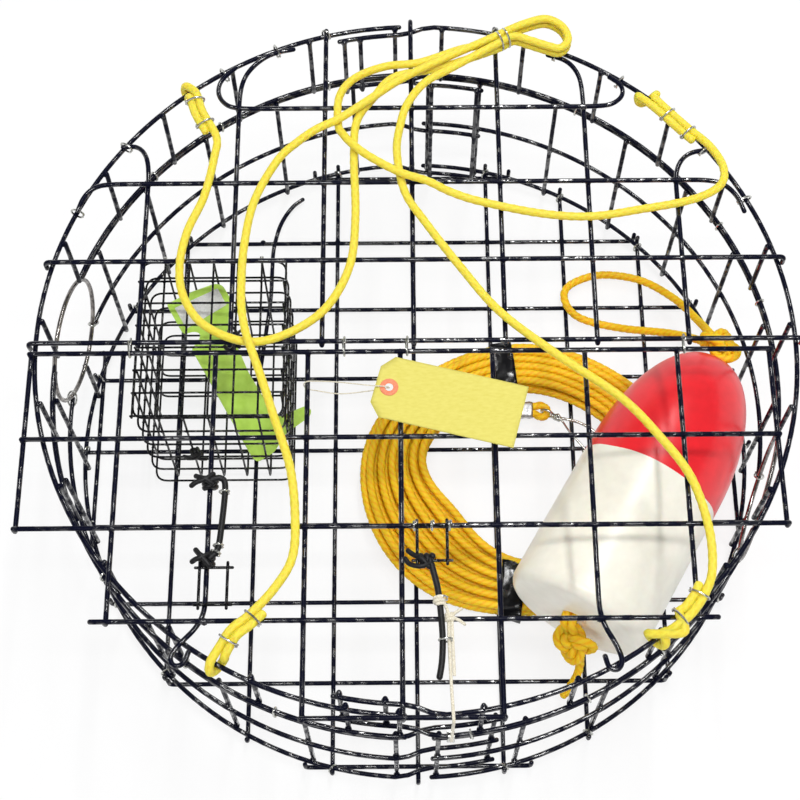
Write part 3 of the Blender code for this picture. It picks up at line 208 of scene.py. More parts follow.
def curved(corners, step, closed=False):
    """A smooth curve through corners, read at a steady step."""
    corners = [Vector(corner) for corner in corners]
    if closed:
        padded = [corners[-1], *corners, corners[0], corners[1]]
    else:
        padded = [corners[0], *corners, corners[-1]]
    dense, reads = [], 24
    for a, b, c, d in zip(padded, padded[1:], padded[2:], padded[3:]):
        for count in range(reads):
            t = count / reads
            dense.append(0.5 * (2 * b + (c - a) * t + (2 * a - 5 * b + 4 * c - d) * t * t
                                + (3 * b - a - 3 * c + d) * t ** 3))
    dense.append(corners[0] if closed else corners[-1])
    return even([tuple(point) for point in dense], step)


def rounded(corners, radius, steps=6):
    """A wire's path with each corner bent to a radius."""
    corners = [Vector(corner) for corner in corners]
    path, apart = [corners[0]], 0.0002
    for before, corner, after in zip(corners, corners[1:], corners[2:]):
        into, out = before - corner, after - corner
        reach_in, reach_out = min(radius, 0.5 * into.length), min(radius, 0.5 * out.length)
        start, end = corner + into.normalized() * reach_in, corner + out.normalized() * reach_out
        for count in range(steps + 1):
            t = count / steps
            point = start * (1 - t) ** 2 + corner * 2 * t * (1 - t) + end * t * t
            if (point - path[-1]).length > apart:
                path.append(point)
    if (corners[-1] - path[-1]).length > apart:
        path.append(corners[-1])
    return [tuple(point) for point in path]


def polar(radius, degrees, height):
    angle = math.radians(degrees)
    return Vector((radius * math.cos(angle), radius * math.sin(angle), height))


def helix(centre, axis, radius, pitch, turns, start=0.0):
    """Turns of cord round an axis."""
    steps = 14
    frame = Vector(axis).to_track_quat("Z", "Y").to_matrix()
    points = []
    for count in range(round(turns * steps) + 1):
        share = count / steps
        angle = math.radians(start) + 2 * math.pi * share
        local = Vector((radius * math.cos(angle), radius * math.sin(angle),
                        pitch * (share - turns / 2)))
        points.append(Vector(centre) + frame @ local)
    return points


def overhand(centre, axis, size, depth, lane, steps=60):
    """Paths of an overhand knot about an axis, tied in two strands side by side."""
    frame = np.array(Vector(axis).to_track_quat("Z", "Y").to_matrix())
    t = 2 * np.pi * np.arange(steps) / steps
    middle = np.stack((size * (np.sin(t) + 2 * np.sin(2 * t)),
                       size * (np.cos(t) - 2 * np.cos(2 * t)), -depth * np.sin(3 * t)), axis=1)
    ahead = np.roll(middle, -1, 0) - np.roll(middle, 1, 0)
    side = np.stack((ahead[:, 1], -ahead[:, 0], 0 * t), axis=1)
    side *= lane / np.linalg.norm(side, axis=1)[:, None]
    return [np.asarray(centre) + (middle + way * side) @ frame.T for way in (1, -1)]


def squared(value, power):
    """A sine or cosine pushed towards one, which makes a circle boxy."""
    return math.copysign(abs(value) ** power, value)


# ---- skins


def ring_faces(rows, around, closed=False):
    """Faces between rows of points that each run once round a section."""
    return [(row * around + k, row * around + (k + 1) % around,
             (row + 1) % rows * around + (k + 1) % around, (row + 1) % rows * around + k)
            for row in range(rows if closed else rows - 1) for k in range(around)]


def directions(points, closed):
    """Across and up directions along a path, carried without twist."""
    points = np.asarray(points, float)
    if closed:
        ahead = np.roll(points, -1, 0) - np.roll(points, 1, 0)
    else:
        ahead = np.gradient(points, axis=0)
    ahead /= np.linalg.norm(ahead, axis=1)[:, None]
    across = np.empty_like(points)
    seed = (0.0, 0.0, 1.0) if abs(ahead[0][2]) < 0.9 else (1.0, 0.0, 0.0)
    across[0] = np.cross(ahead[0], seed)
    across[0] /= np.linalg.norm(across[0])
    for place in range(1, len(points)):
        side = across[place - 1] - ahead[place] * np.dot(across[place - 1], ahead[place])
        across[place] = side / np.linalg.norm(side)
    return ahead, across, np.cross(across, ahead)


class Skin:
    """Points and faces of one piece, gathered part by part."""

    def __init__(self):
        self.points, self.faces, self.crowns, self.total = [], [], [], 0

    def add(self, points, faces, crown=1.0):
        points = np.asarray(points, float).reshape(-1, 3)
        self.points.append(points)
        self.faces.extend([tuple(index + self.total for index in face) for face in faces])
        self.crowns.append(np.broadcast_to(np.ravel(crown).astype(float), len(points)))
        self.total += len(points)

    def tube(self, points, radius, sides=10, closed=False, dome=0.9, section=None):
        """A round or shaped bar along a path; section(angles, runs) scales the radius."""
        points = np.asarray([tuple(point) for point in points], float)
        ahead, across, up = directions(points, closed)
        count = len(points)
        scale = np.ones(count)
        if not closed and dome:
            lift = np.radians((80.0, 55.0, 28.0))
            head = points[0] - ahead[0] * radius * dome * np.sin(lift)[:, None]
            tail = points[-1] + ahead[-1] * radius * dome * np.sin(lift[::-1])[:, None]
            points = np.vstack((head, points, tail))
            across, up = (np.pad(way, ((3, 3), (0, 0)), "edge") for way in (across, up))
            scale = np.concatenate((np.cos(lift), scale, np.cos(lift[::-1])))
            count += 6
        angles = np.linspace(0, 2 * np.pi, sides, endpoint=False)
        runs = np.concatenate(([0.0], np.cumsum(np.linalg.norm(np.diff(points, axis=0), axis=1))))
        turned, size = np.broadcast_to(angles, (count, sides)), np.ones((count, sides))
        if section is not None:
            turned, size = section(angles, runs)
        reach = radius * size * scale[:, None]
        ring = (points[:, None, :] + across[:, None, :] * (reach * np.cos(turned))[..., None]
                + up[:, None, :] * (reach * np.sin(turned))[..., None])
        faces = ring_faces(count, sides, closed)
        if not closed:
            faces.append(tuple(range(sides))[::-1])
            faces.append(tuple((count - 1) * sides + side for side in range(sides)))
        crown = (size - size.min()) / max(1e-9, np.ptp(size)) if section is not None else 1.0
        self.add(ring, faces, crown)

    def ball(self, centre, radii, axes=None, rows=5, sides=8):
        """A rounded lump with its own radii along three directions."""
        axes = np.eye(3) if axes is None else np.asarray(axes, float)
        centre = np.asarray(centre)
        points, faces = [], []
        for row in range(1, rows):
            polar_angle = math.pi * row / rows
            for side in range(sides):
                angle = 2 * math.pi * side / sides
                local = (math.sin(polar_angle) * math.cos(angle),
                         math.sin(polar_angle) * math.sin(angle), math.cos(polar_angle))
                points.append(centre + sum(axis * share * radius for axis, share, radius
                                           in zip(axes, local, radii)))
        points += [centre + axes[2] * radii[2], centre - axes[2] * radii[2]]
        top, bottom = len(points) - 2, len(points) - 1
        for side in range(sides):
            after = (side + 1) % sides
            faces.append((top, side, after))
            faces.append((bottom, (rows - 2) * sides + after, (rows - 2) * sides + side))
            for row in range(rows - 2):
                first, second = row * sides, (row + 1) * sides
                faces.append((first + side, second + side, second + after, first + after))
        self.add(points, faces)

    def piece(self, name, material, body, slot, *replaced):
        """The finished mesh, riding on its body in place of its nodes."""
        mesh = bpy.data.meshes.new(name)
        mesh.from_pydata(np.concatenate(self.points).tolist(), [], self.faces)
        mesh.update()
        crown = mesh.attributes.new("crown", "FLOAT", "POINT")
        crown.data.foreach_set("value", np.concatenate(self.crowns).astype(np.float32))
        mesh.shade_smooth()
        mesh.set_sharp_from_angle(angle=math.radians(50))
        return settle(bpy.data.objects.new(name, mesh), material, body, slot, *replaced)


def settle(piece, material, body, slot, *replaced):
    """Link a new piece, give it its finish and its body, and retire the nodes it stands for."""
    if piece.name not in bpy.context.scene.collection.objects:
        bpy.context.scene.collection.objects.link(piece)
    piece.data.materials.clear()
    piece.data.materials.append(material)
    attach(piece, body)
    if replaced:
        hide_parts(*replaced)
    return piece


def thicken(piece, thickness, offset):
    """Give a surface the thickness of its sheet."""
    sheet = piece.modifiers.new("thickness", "SOLIDIFY")
    sheet.thickness, sheet.offset = thickness, offset


def fix_normals(piece):
    """Faces turned outwards."""
    work = bmesh.new()
    work.from_mesh(piece.data)
    bmesh.ops.recalc_face_normals(work, faces=work.faces)
    work.to_mesh(piece.data)
    work.free()


def laid(lay):
    """Section of a three-strand rope: round strands with sharp grooves, turning with the lay."""
    def section(angles, runs):
        size = 1 - STRAND_DEPTH * (1 - np.abs(np.cos(1.5 * angles))) ** 1.3
        turned = angles[None, :] + 2 * np.pi * runs[:, None] / lay
        return turned, np.broadcast_to(size, turned.shape)
    return section


def braided(plaits=4, travel=620.0):
    """Section of a braided rope: two families of strands crossing over each other."""
    def section(angles, runs):
        one = np.cos(plaits * angles[None, :] + travel * runs[:, None])
        two = np.cos(plaits * angles[None, :] - travel * runs[:, None])
        return np.broadcast_to(angles, one.shape), 0.955 + 0.045 * np.maximum(one, two)
    return section


# ---- finishes


def add_node(tree, kind, inputs=None, **settings):
    """A node with its settings, its values and the links into it."""
    made = tree.nodes.new(kind)
    for name, value in settings.items():
        setattr(made, name, value)
    for name, value in (inputs or {}).items():
        if isinstance(value, bpy.types.NodeSocket):
            tree.links.new(value, made.inputs[name])
        else:
            made.inputs[name].default_value = value
    return made


def finish(name, base, roughness, metallic=0.0, **sockets):
    """A material with its shader, ready for its pattern."""
    material = bpy.data.materials.new(name)
    material.use_nodes = True
    tree = material.node_tree
    shader = tree.nodes["Principled BSDF"]
    shader.inputs["Base Color"].default_value = (*base, 1.0)
    shader.inputs["Roughness"].default_value = roughness
    shader.inputs["Metallic"].default_value = metallic
    for socket, value in sockets.items():
        shader.inputs[socket.replace("_", " ")].default_value = value
    return material, tree, shader


def pattern(tree, shader, light, dark, size, bump, detail=3.0, stretch=(1, 1, 1)):
    """Mottle between two colours and a matching bump, both at a real size in metres."""
    where = add_node(tree, "ShaderNodeTexCoord")
    mapped = add_node(tree, "ShaderNodeMapping", {"Vector": where.outputs["Object"],
                                                  "Scale": stretch})
    grain = add_node(tree, "ShaderNodeTexNoise", {"Vector": mapped.outputs["Vector"],
                                                  "Scale": 1 / size, "Detail": detail})
    tint = add_node(tree, "ShaderNodeValToRGB", {"Fac": grain.outputs["Fac"]})
    tint.color_ramp.elements[0].position, tint.color_ramp.elements[1].position = 0.32, 0.68
    tint.color_ramp.elements[0].color = (*dark, 1.0)
    tint.color_ramp.elements[1].color = (*light, 1.0)
    tree.links.new(tint.outputs["Color"], shader.inputs["Base Color"])
    if bump:
        relief = add_node(tree, "ShaderNodeBump", {"Height": grain.outputs["Fac"],
                                                   "Strength": bump, "Distance": 0.4 * size})
        tree.links.new(relief.outputs["Normal"], shader.inputs["Normal"])
    return mapped, grain


def shade(colour, amount):
    return tuple(min(1.0, channel * amount) for channel in colour)


def smooth_patches(tree, shader, grain, roughness, gloss):
    """Shine only where the coat set smooth, so that a highlight breaks into short dashes."""
    # The finish's own roughness and specular level are for readers that drop these links
    for socket, smooth, dull in (("Roughness", roughness, 0.30),
                                 ("Specular IOR Level", gloss, 0.06)):
        patches = add_node(tree, "ShaderNodeMapRange", {"Value": grain.outputs["Fac"],
                                                        "From Min": 0.40, "From Max": 0.52,
                                                        "To Min": smooth, "To Max": dull})
        tree.links.new(patches.outputs["Result"], shader.inputs[socket])


def vinyl_dipped_wire():
    """PVC dipped over welded steel: near-black blue, glossy, with the ripple of a dipped coat."""
    coat = tuple(bpy.context.scene.trap_wires.coat)
    material, tree, shader = finish("vinyl_dipped_wire", coat, 0.20, IOR=1.54,
                                    Specular_IOR_Level=0.38)
    # Drips and thin spots of the coat follow each other along a wire every centimetre or so
    _, grain = pattern(tree, shader, shade(coat, 1.4), shade(coat, 0.7), 12 * MM, 0.30, 1.5)
    smooth_patches(tree, shader, grain, 0.06, 1.0)
    return material


def vinyl_fine_mesh():
    """PVC on thin welded wire: blacker and duller than the frame's."""
    material, tree, shader = finish("vinyl_fine_mesh", linear("#08090D"), 0.24, IOR=1.53,
                                    Specular_IOR_Level=0.16)
    # Scuffs in the thin coat cut its highlights every few millimetres
    _, grain = pattern(tree, shader, linear("#0D0E14"), linear("#040506"), 4.0 * MM, 0.3)
    smooth_patches(tree, shader, grain, 0.10, 0.7)
    return material


def hot_dip_galvanised():
    """Zinc on steel wire: grey metal with soft spangle."""
    # Zinc crystals vary the grey by patches of a millimetre or two
    material, tree, shader = finish("hot_dip_galvanised", linear("#C6C6C2"), 0.24, 1.0)
    pattern(tree, shader, linear("#DCDCD6"), linear("#9C9D9A"), 2.2 * MM, 0.12)
    return material


def painted_reflection_zinc():
    """Zinc on the entry rings: shiny, with its grey painted darker as a reflection of dim
    surroundings.
    """
    # The darkened grey, a painted dark reflection, varies in patches of some millimetres along the
    # wire
    material, tree, shader = finish("painted_reflection_zinc", linear("#8D8A88"), 0.20, 1.0)
    pattern(tree, shader, linear("#A5A09C"), linear("#5E5B5B"), 6.0 * MM, 0.15)
    return material


def pressed_zinc():
    """Plated sleeve, dulled where the press squeezed it round the line."""
    # Fine scuffs of the press, in patches of a millimetre or two
    material, tree, shader = finish("pressed_zinc", linear("#BEBFC1"), 0.46, 1.0)
    pattern(tree, shader, linear("#CDCECF"), linear("#A3A4A6"), 2.0 * MM, 0.10)
    return material


def poly_rope(name, colour, groove_shade, fibre):
    """Polypropylene rope: translucent waxy fibres, with painted shade giving a deeper colour in the
    grooves.
    """
    material, tree, shader = finish(name, colour, 0.50, IOR=1.49, Subsurface_Weight=0.70,
                                    Subsurface_Scale=0.005, Specular_IOR_Level=0.3)
    shader.inputs["Subsurface Radius"].default_value = (1.0, 0.75, 0.2)
    # How far out on its strand a point lies: the mask of the painted groove shade
    depth = add_node(tree, "ShaderNodeAttribute", attribute_name="crown")
    where = add_node(tree, "ShaderNodeTexCoord")
    # Filaments are 0.2 mm thick, drawn at about 1 mm so that they show
    hair = add_node(tree, "ShaderNodeTexNoise", {"Vector": where.outputs["Object"],
                                                 "Scale": 1 / fibre, "Detail": 4.0})
    mixed = add_node(tree, "ShaderNodeMath", {0: depth.outputs["Fac"], 1: hair.outputs["Fac"]},
                     operation="MULTIPLY_ADD")
    mixed.inputs[2].default_value = 0.10
    # Painted shade: the colour deepens towards the grooves, broken up by the fibre noise
    tint = add_node(tree, "ShaderNodeValToRGB", {"Fac": mixed.outputs["Value"]})
    tint.color_ramp.elements[0].position, tint.color_ramp.elements[1].position = 0.08, 0.62
    tint.color_ramp.elements[0].color = (*groove_shade, 1.0)
    tint.color_ramp.elements[1].color = (*colour, 1.0)
    tree.links.new(tint.outputs["Color"], shader.inputs["Base Color"])
    relief = add_node(tree, "ShaderNodeBump", {"Height": hair.outputs["Fac"], "Strength": 0.35,
                                               "Distance": 0.4 * MM})
    tree.links.new(relief.outputs["Normal"], shader.inputs["Normal"])
    return material


def yellow_braid():
    colour = tuple(bpy.context.scene.trap_ropes.harness)
    # The second colour is the painted shade in the grooves
    return poly_rope("yellow_braided_polypropylene", colour, linear("#E4CE40"), 1.3 * MM)


def orange_twist():
    colour = tuple(bpy.context.scene.trap_ropes.line)
    # The second colour is the painted shade in the grooves
    return poly_rope("orange_twisted_polypropylene", colour, linear("#FFB410"), 0.9 * MM)


def tied_cotton():
    """Undyed cotton seine twine: matt, fuzzy and slightly soiled."""
    material, tree, shader = finish("cotton_seine_twine", linear("#EDE6D2"), 0.95, IOR=1.47,
                                    Sheen_Weight=0.4)
    pattern(tree, shader, linear("#F6F1E2"), linear("#CFC4A6"), 1.0 * MM, 0.5)
    return material


def cut_rubber():
    """Strip cut from black rubber: matt with a faint bloom."""
    material, tree, shader = finish("black_rubber_cord", linear("#0E0E10"), 0.45, IOR=1.52,
                                    Specular_IOR_Level=0.3)
    pattern(tree, shader, linear("#17171A"), linear("#08080A"), 2.0 * MM, 0.35)
    return material


def wrapped_tape():
    """Black PVC tape: shiny, with small stretch wrinkles."""
    material, tree, shader = finish("black_vinyl_tape", linear("#0B0B0E"), 0.16, IOR=1.54,
                                    Specular_IOR_Level=0.16)
    # Stretch and slack follow each other round the band every centimetre or two
    _, grain = pattern(tree, shader, linear("#111114"), linear("#050507"), 16.0 * MM, 0.25, 1.0)
    smooth_patches(tree, shader, grain, 0.14, 0.6)
    return material


def sheet_plastic():
    """Lime ABS sheet, die cut: even colour, satin."""
    material, tree, shader = finish("lime_abs_sheet", linear("#C0EA62"), 0.34, IOR=1.53)
    pattern(tree, shader, linear("#C4EE6A"), linear("#B8E458"), 9.0 * MM, 0.06)
    return material


def label_stock():
    """Pale adhesive label, left bare."""
    material, tree, shader = finish("white_label_stock", linear("#E4E6E2"), 0.5, IOR=1.5)
    pattern(tree, shader, linear("#ECEDEA"), linear("#D6DAD6"), 1.6 * MM, 0.1)
    return material


def tag_manila():
    """Pale yellow tag card: matt paper with fine fibres and slight waves."""
    material, tree, shader = finish("yellow_tag_card", linear("#DCD168"), 0.78, IOR=1.5)
    # Fibres show as streaks of 2.4 mm, drawn out along the card
    mapped, _ = pattern(tree, shader, linear("#DFD56E"), linear("#D8CD60"), 2.4 * MM, 0.22, 5.0,
                        (0.35, 1, 1))
    mapped.inputs["Rotation"].default_value[2] = math.radians(TAG_ANGLE)
    return material


def tag_patch():
    """Coral paper ring that strengthens the tag's hole."""
    material, tree, shader = finish("coral_paper_patch", linear("#EE8A66"), 0.7, IOR=1.5)
    pattern(tree, shader, linear("#F29A76"), linear("#E67C57"), 1.2 * MM, 0.2)
    return material


def float_paint(turn):
    """Moulded PVC foam, the nose dipped in red: waxy gloss, a paint edge and handling marks."""
    look = bpy.context.scene.trap_float
    nose, body = tuple(look.nose), tuple(look.body)
    material, tree, shader = finish("moulded_foam_float", body, 0.30, IOR=1.5,
                                    Subsurface_Weight=0.08, Subsurface_Scale=0.004)
    where = add_node(tree, "ShaderNodeTexCoord")
    back = turn.inverted()
    line = add_node(tree, "ShaderNodeVectorMath", {0: where.outputs["Object"]},
                    operation="DOT_PRODUCT")
    line.inputs[1].default_value = tuple(back[2][:3])
    wave = add_node(tree, "ShaderNodeTexNoise", {"Vector": where.outputs["Object"],
                                                 "Scale": 1 / (60 * MM), "Detail": 1.0})
    along = add_node(tree, "ShaderNodeMath", {0: wave.outputs["Fac"], 1: 0.006,
                                              2: line.outputs["Value"]}, operation="MULTIPLY_ADD")
    edge = add_node(tree, "ShaderNodeMath", {0: along.outputs["Value"]}, operation="GREATER_THAN")
    edge.inputs[1].default_value = look.border * BUOY_LENGTH - back[2][3] + 0.003
    scuff = add_node(tree, "ShaderNodeTexNoise", {"Vector": where.outputs["Object"],
                                                  "Scale": 1 / (14 * MM), "Detail": 6.0})
    paint = add_node(tree, "ShaderNodeMix", {"Factor": edge.outputs["Value"]}, data_type="RGBA")
    for side, colour, dark, light in (("A", body, 0.86, 1.04), ("B", nose, 0.82, 1.08)):
        worn = add_node(tree, "ShaderNodeValToRGB", {"Fac": scuff.outputs["Fac"]})
        worn.color_ramp.elements[0].color = (*shade(colour, dark), 1.0)
        worn.color_ramp.elements[1].color = (*shade(colour, light), 1.0)
        tree.links.new(worn.outputs["Color"], paint.inputs[side])
    tree.links.new(paint.outputs["Result"], shader.inputs["Base Color"])
    # Foam cells print through the skin as a fine pebble of about 1.5 mm
    pebble = add_node(tree, "ShaderNodeTexNoise", {"Vector": where.outputs["Object"],
                                                   "Scale": 1 / (1.5 * MM), "Detail": 2.0})
    relief = add_node(tree, "ShaderNodeBump", {"Height": pebble.outputs["Fac"], "Strength": 0.10,
                                               "Distance": 0.3 * MM})
    tree.links.new(relief.outputs["Normal"], shader.inputs["Normal"])
    return material


def studio_floor():
    """White sweep: paper that takes the trap's soft shadow and shows white to the camera."""
    material, tree, shader = finish("white_studio_paper", (0.94, 0.94, 0.95), 0.9)
    glow = add_node(tree, "ShaderNodeEmission", {"Color": (1.0, 1.0, 1.0, 1.0), "Strength": 1.0})
    seen = add_node(tree, "ShaderNodeLightPath")
    direct = add_node(tree, "ShaderNodeMath", {0: seen.outputs["Is Camera Ray"],
                                               1: seen.outputs["Is Glossy Ray"]}, operation="ADD")
    shown = add_node(tree, "ShaderNodeMath", {0: direct.outputs["Value"],
                                              1: seen.outputs["Is Transmission Ray"]},
                     operation="ADD", use_clamp=True)
    share = add_node(tree, "ShaderNodeMath", {0: shown.outputs["Value"], 1: 0.80},
                     operation="MULTIPLY")
    mixed = add_node(tree, "ShaderNodeMixShader", {0: share.outputs["Value"],
                                                   1: shader.outputs["BSDF"],
                                                   2: glow.outputs["Emission"]})
    tree.links.new(mixed.outputs["Shader"], tree.nodes["Material Output"].inputs["Surface"])
    return material


FINISHES = {}


def finish_of(maker):
    """Each finish is made once."""
    if maker.__name__ not in FINISHES:
        FINISHES[maker.__name__] = maker()
    return FINISHES[maker.__name__]


# ---- wires


def frame_wire(skin, points, bend_radius=0.009):
    skin.tube(rounded(points, bend_radius), HALF, bpy.context.scene.trap_wires.sides)


def bead(skin, point, flat=(0, 0, 1), size=1.0):
    """Vinyl gathered where two wires are welded, flattened along one direction."""
    radius = bpy.context.scene.trap_wires.bead * size
    normal = Vector(flat).normalized()
    across = normal.orthogonal().normalized()
    axes = (across, normal.cross(across), normal)
    skin.ball(point, (1.12 * radius, 1.12 * radius, 1.35 * radius), axes)


def ring_gap(offset):
    """Half width kept clear of a wire for an entry ring."""
    clear = RING_RADIUS + RING_WIRE / 2 + GAP
    edge = max(0.0, abs(offset) - HALF)
    return math.sqrt(clear * clear - edge * edge) if edge < clear else 0.0


def tuck_at(degrees, laps):
    """How far a strip's end is tucked inside its neighbour's."""
    for inner, outer in laps:
        low, high = min(inner, outer), max(inner, outer)
        if low <= degrees <= high:
            return LAP_TUCK
        away = low - degrees if degrees < low else degrees - high
        if away < LAP_EASE:
            share = 1 - away / LAP_EASE
            return LAP_TUCK * share * share * (3 - 2 * share)
    return 0.0


def wall_strip(name, node, first, last, heights, bar_start, laps, ring_angle):
    """Hoops and upright bars of one strip, cut away round the entry ring."""
    skin = Skin()
    sides = bpy.context.scene.trap_wires.sides
    for height in heights:
        gap = math.degrees(ring_gap(height - RING_HEIGHT) / CAGE_RADIUS)
        spans = [(first, last)]
        if gap:
            spans = [(first, ring_angle - gap), (ring_angle + gap, last)]
        for start, end in spans:
            count = max(2, round((end - start) / 2.0))
            angles = [start + (end - start) * step / count for step in range(count + 1)]
            skin.tube([polar(CAGE_RADIUS - tuck_at(angle, laps), angle, height)
                       for angle in angles], HALF, sides)
    margin = math.degrees(WIRE / CAGE_RADIUS)
    angles = [bar_start + BAR_STEP * step for step in range(-WALL_BARS, WALL_BARS)]
    angles = [angle for angle in angles if first + 3 * margin < angle < last - 3 * margin]
    low, high = heights[0] - 0.7 * HALF, heights[-1] + 0.7 * HALF
    for angle in [first + margin, *angles, last - margin]:
        tuck = tuck_at(angle, laps)
        inset = CAGE_RADIUS - CROSS - tuck
        clear = ring_gap(CAGE_RADIUS * math.sin(math.radians(angle - ring_angle)))
        spans = [(low, high)]
        if clear and abs(angle - ring_angle) < 90:
            spans = [(low, RING_HEIGHT - clear), (RING_HEIGHT + clear, high)]
        for start, end in spans:
            if end - start > WIRE:
                skin.tube([polar(inset, angle, start), polar(inset, angle, end)], HALF, sides)
                for height in heights:
                    if start - WIRE < height < end + WIRE:
                        bead(skin, polar(CAGE_RADIUS - CROSS / 2 - tuck, angle, height),
                             polar(1, angle, 0))
    return skin.piece(name, finish_of(vinyl_dipped_wire), "cage", "coated_wire", node)


def rim_wire(skin, across, height, along_x, up, end=0.013):
    """A wire right across, each end turned over outside the hoop."""
    half = math.sqrt(RIM * RIM - across * across)
    turned = height + up * end
    corners = [(-half, across, turned), (-half, across, height), (half, across, height),
               (half, across, turned)]
    if not along_x:
        corners = [(y, x, z) for x, y, z in corners]
    frame_wire(skin, corners, 0.006)


def cross_beads(skin, xs, ys, height, inside):
    for x in xs:
        for y in ys:
            if inside(x, y):
                bead(skin, (x, y, height))


class TRAP_OT_cage(bpy.types.Operator):
    """Floor, wall, roof and lid of welded wire"""
    bl_idname = "crab_trap.cage"
    bl_label = "Wire cage"

    def execute(self, context):
        self.floor()
        self.wall()
        self.roof()
        self.lid()
        return {"FINISHED"}

    def floor(self):
        skin = Skin()
        offsets = [MESH_PITCH * step for step in range(-4, 5)]
        for offset in offsets:
            rim_wire(skin, offset, FLOOR_ROW_Z, True, 1, 0.017)
            if offset != offsets[2]:
                rim_wire(skin, offset, FLOOR_BAR_Z, False, 1)
        front = math.sqrt(RIM * RIM - offsets[2] * offsets[2])
        bent = [(offsets[2], -front), (offsets[2], 0.090), (-0.176, 0.201), (-0.175, 0.272),
                (-0.167, 0.308), (-0.153, 0.333), (-0.139, 0.344)]
        frame_wire(skin, [(offsets[2], -front, FLOOR_BAR_Z + 0.013),
                          *[(x, y, FLOOR_BAR_Z) for x, y in bent]], 0.014)
        cross_beads(skin, offsets, offsets, (FLOOR_ROW_Z + FLOOR_BAR_Z) / 2 + 0.0004,
                    lambda x, y: math.hypot(x, y) < RIM - 0.004)
        skin.piece("floor_wires", finish_of(vinyl_dipped_wire), "cage", "coated_wire",
                   "floor_panel")

    def wall(self):
        lower = (BASE_HOOP_Z, MID_HOOP_Z, LAP_HOOP_Z)
        upper = (UPPER_HOOP_Z, CAGE_HEIGHT)
        left, right = RING_ANGLES["left"], RING_ANGLES["right"]
        near, far = LAP_START, LAP_END
        wall_strip("wall_wires_lower_left", "lower_wall_left", near, 360 - near, lower, left,
                   [(near, far), (360 - near, 360 - far)], left)
        wall_strip("wall_wires_lower_right", "lower_wall_right", -far, far, lower, right, [], right)
        wall_strip("wall_wires_upper_left", "upper_wall_left", 180 - far, 180 + far, upper,
                   left - BAR_STEP / 2, [], left)
        wall_strip("wall_wires_upper_right", "upper_wall_right", near - 180, 180 - near, upper,
                   right - BAR_STEP / 2, [(near - 180, far - 180), (180 - near, 180 - far)], right)

    def roof(self):
        skin = Skin()
        row_y = [ROOF_EDGE_Y + MESH_PITCH * step for step in range(4)]
        bar_x = [ROOF_SHIFT + MESH_PITCH * step for step in range(-3, 4)]
        start = ROOF_EDGE_Y - HALF
        for y in row_y[:2]:
            rim_wire(skin, y, ROOF_ROW_Z, True, -1)
        curls = [
            (ROOF_ROW_Z, [(-0.356, 0.150), (-0.351, 0.167), (-0.340, 0.179), (-0.324, row_y[2]),
                          (0.318, row_y[2]), (0.334, 0.174), (0.344, 0.160), (0.349, 0.143)]),
            (ROOF_ROW_Z, [(-0.195, 0.330), (-0.211, 0.314), (-0.214, 0.296), (-0.205, 0.281),
                          (-0.190, row_y[3]), (0.203, row_y[3]), (0.219, 0.279), (0.230, 0.290),
                          (0.229, 0.304), (0.216, 0.314)]),
            (ROOF_BAR_Z, [(bar_x[0], start), (bar_x[0], 0.200), (-0.288, 0.221), (-0.298, 0.232),
                          (-0.314, 0.231)]),
            (ROOF_BAR_Z, [(bar_x[1], start), (bar_x[1], 0.300), (-0.185, 0.322), (-0.172, 0.340),
                          (-0.155, 0.352), (-0.132, 0.357)]),
            (ROOF_BAR_Z, [(bar_x[5], start), (bar_x[5], 0.300), (0.183, 0.322), (0.171, 0.340),
                          (0.150, 0.347)]),
            (ROOF_BAR_Z, [(bar_x[6], start), (bar_x[6], 0.190), (0.286, 0.208), (0.298, 0.219),
                          (0.316, 0.222)]),
        ]
        for height, route in curls:
            frame_wire(skin, [(x, y, height) for x, y in route], 0.020)
        for x in bar_x[2:5]:
            half = math.sqrt(RIM * RIM - x * x)
            frame_wire(skin, [(x, start, ROOF_BAR_Z), (x, half, ROOF_BAR_Z),
                              (x, half, ROOF_BAR_Z - 0.011)], 0.006)
        cross_beads(skin, bar_x, row_y, (ROOF_BAR_Z + ROOF_ROW_Z) / 2,
                    lambda x, y: math.hypot(x, y) < 0.372)
        skin.piece("roof_wires", finish_of(vinyl_dipped_wire), "cage", "coated_wire", "roof_panel")

    def lid(self):
        skin = Skin()
        rows_y, bars_x = LID_ROW_Y, LID_BARS
        ends = [(bars_x[0], bars_x[8])] * 3 + [(-0.311, 0.283), (bars_x[3], bars_x[5])]
        for y, (left, right) in zip(rows_y, ends):
            frame_wire(skin, [(left - 0.5 * HALF, y, ROOF_ROW_Z),
                              (right + 0.5 * HALF, y, ROOF_ROW_Z)])
        last_row = {0: 2, 8: 2, 1: 3, 7: 3, 2: 3, 6: 3, 3: 4, 4: 4, 5: 4}
        hooked = (2, 6)
        for index, row in last_row.items():
            if index not in hooked:
                x = bars_x[index]
                frame_wire(skin, [(x, rows_y[0], ROOF_BAR_Z),
                                  (x, rows_y[row] - 0.5 * HALF, ROOF_BAR_Z)])
        bends = [
            [(-0.212, -0.306), (-0.226, -0.320), (-0.236, -0.333), (-0.232, -0.343),
             (-0.222, -0.341), (-0.218, -0.329)],
            [(0.176, -0.306), (0.186, -0.324), (0.192, -0.340), (0.187, -0.350),
             (0.178, -0.348), (0.175, -0.336)],
        ]
        for index, bend in zip(hooked, bends):
            x = bars_x[index]
            route = [(x, rows_y[0]), (x, -0.290), *bend]
            frame_wire(skin, [(x, y, ROOF_BAR_Z) for x, y in route], 0.014)
        for index, row in last_row.items():
            for y in rows_y[:row + 1]:
                bead(skin, (bars_x[index], y, (ROOF_BAR_Z + ROOF_ROW_Z) / 2))
        skin.piece("lid_wires", finish_of(vinyl_dipped_wire), "lid", "coated_wire", "lid_panel")


# ---- hog rings


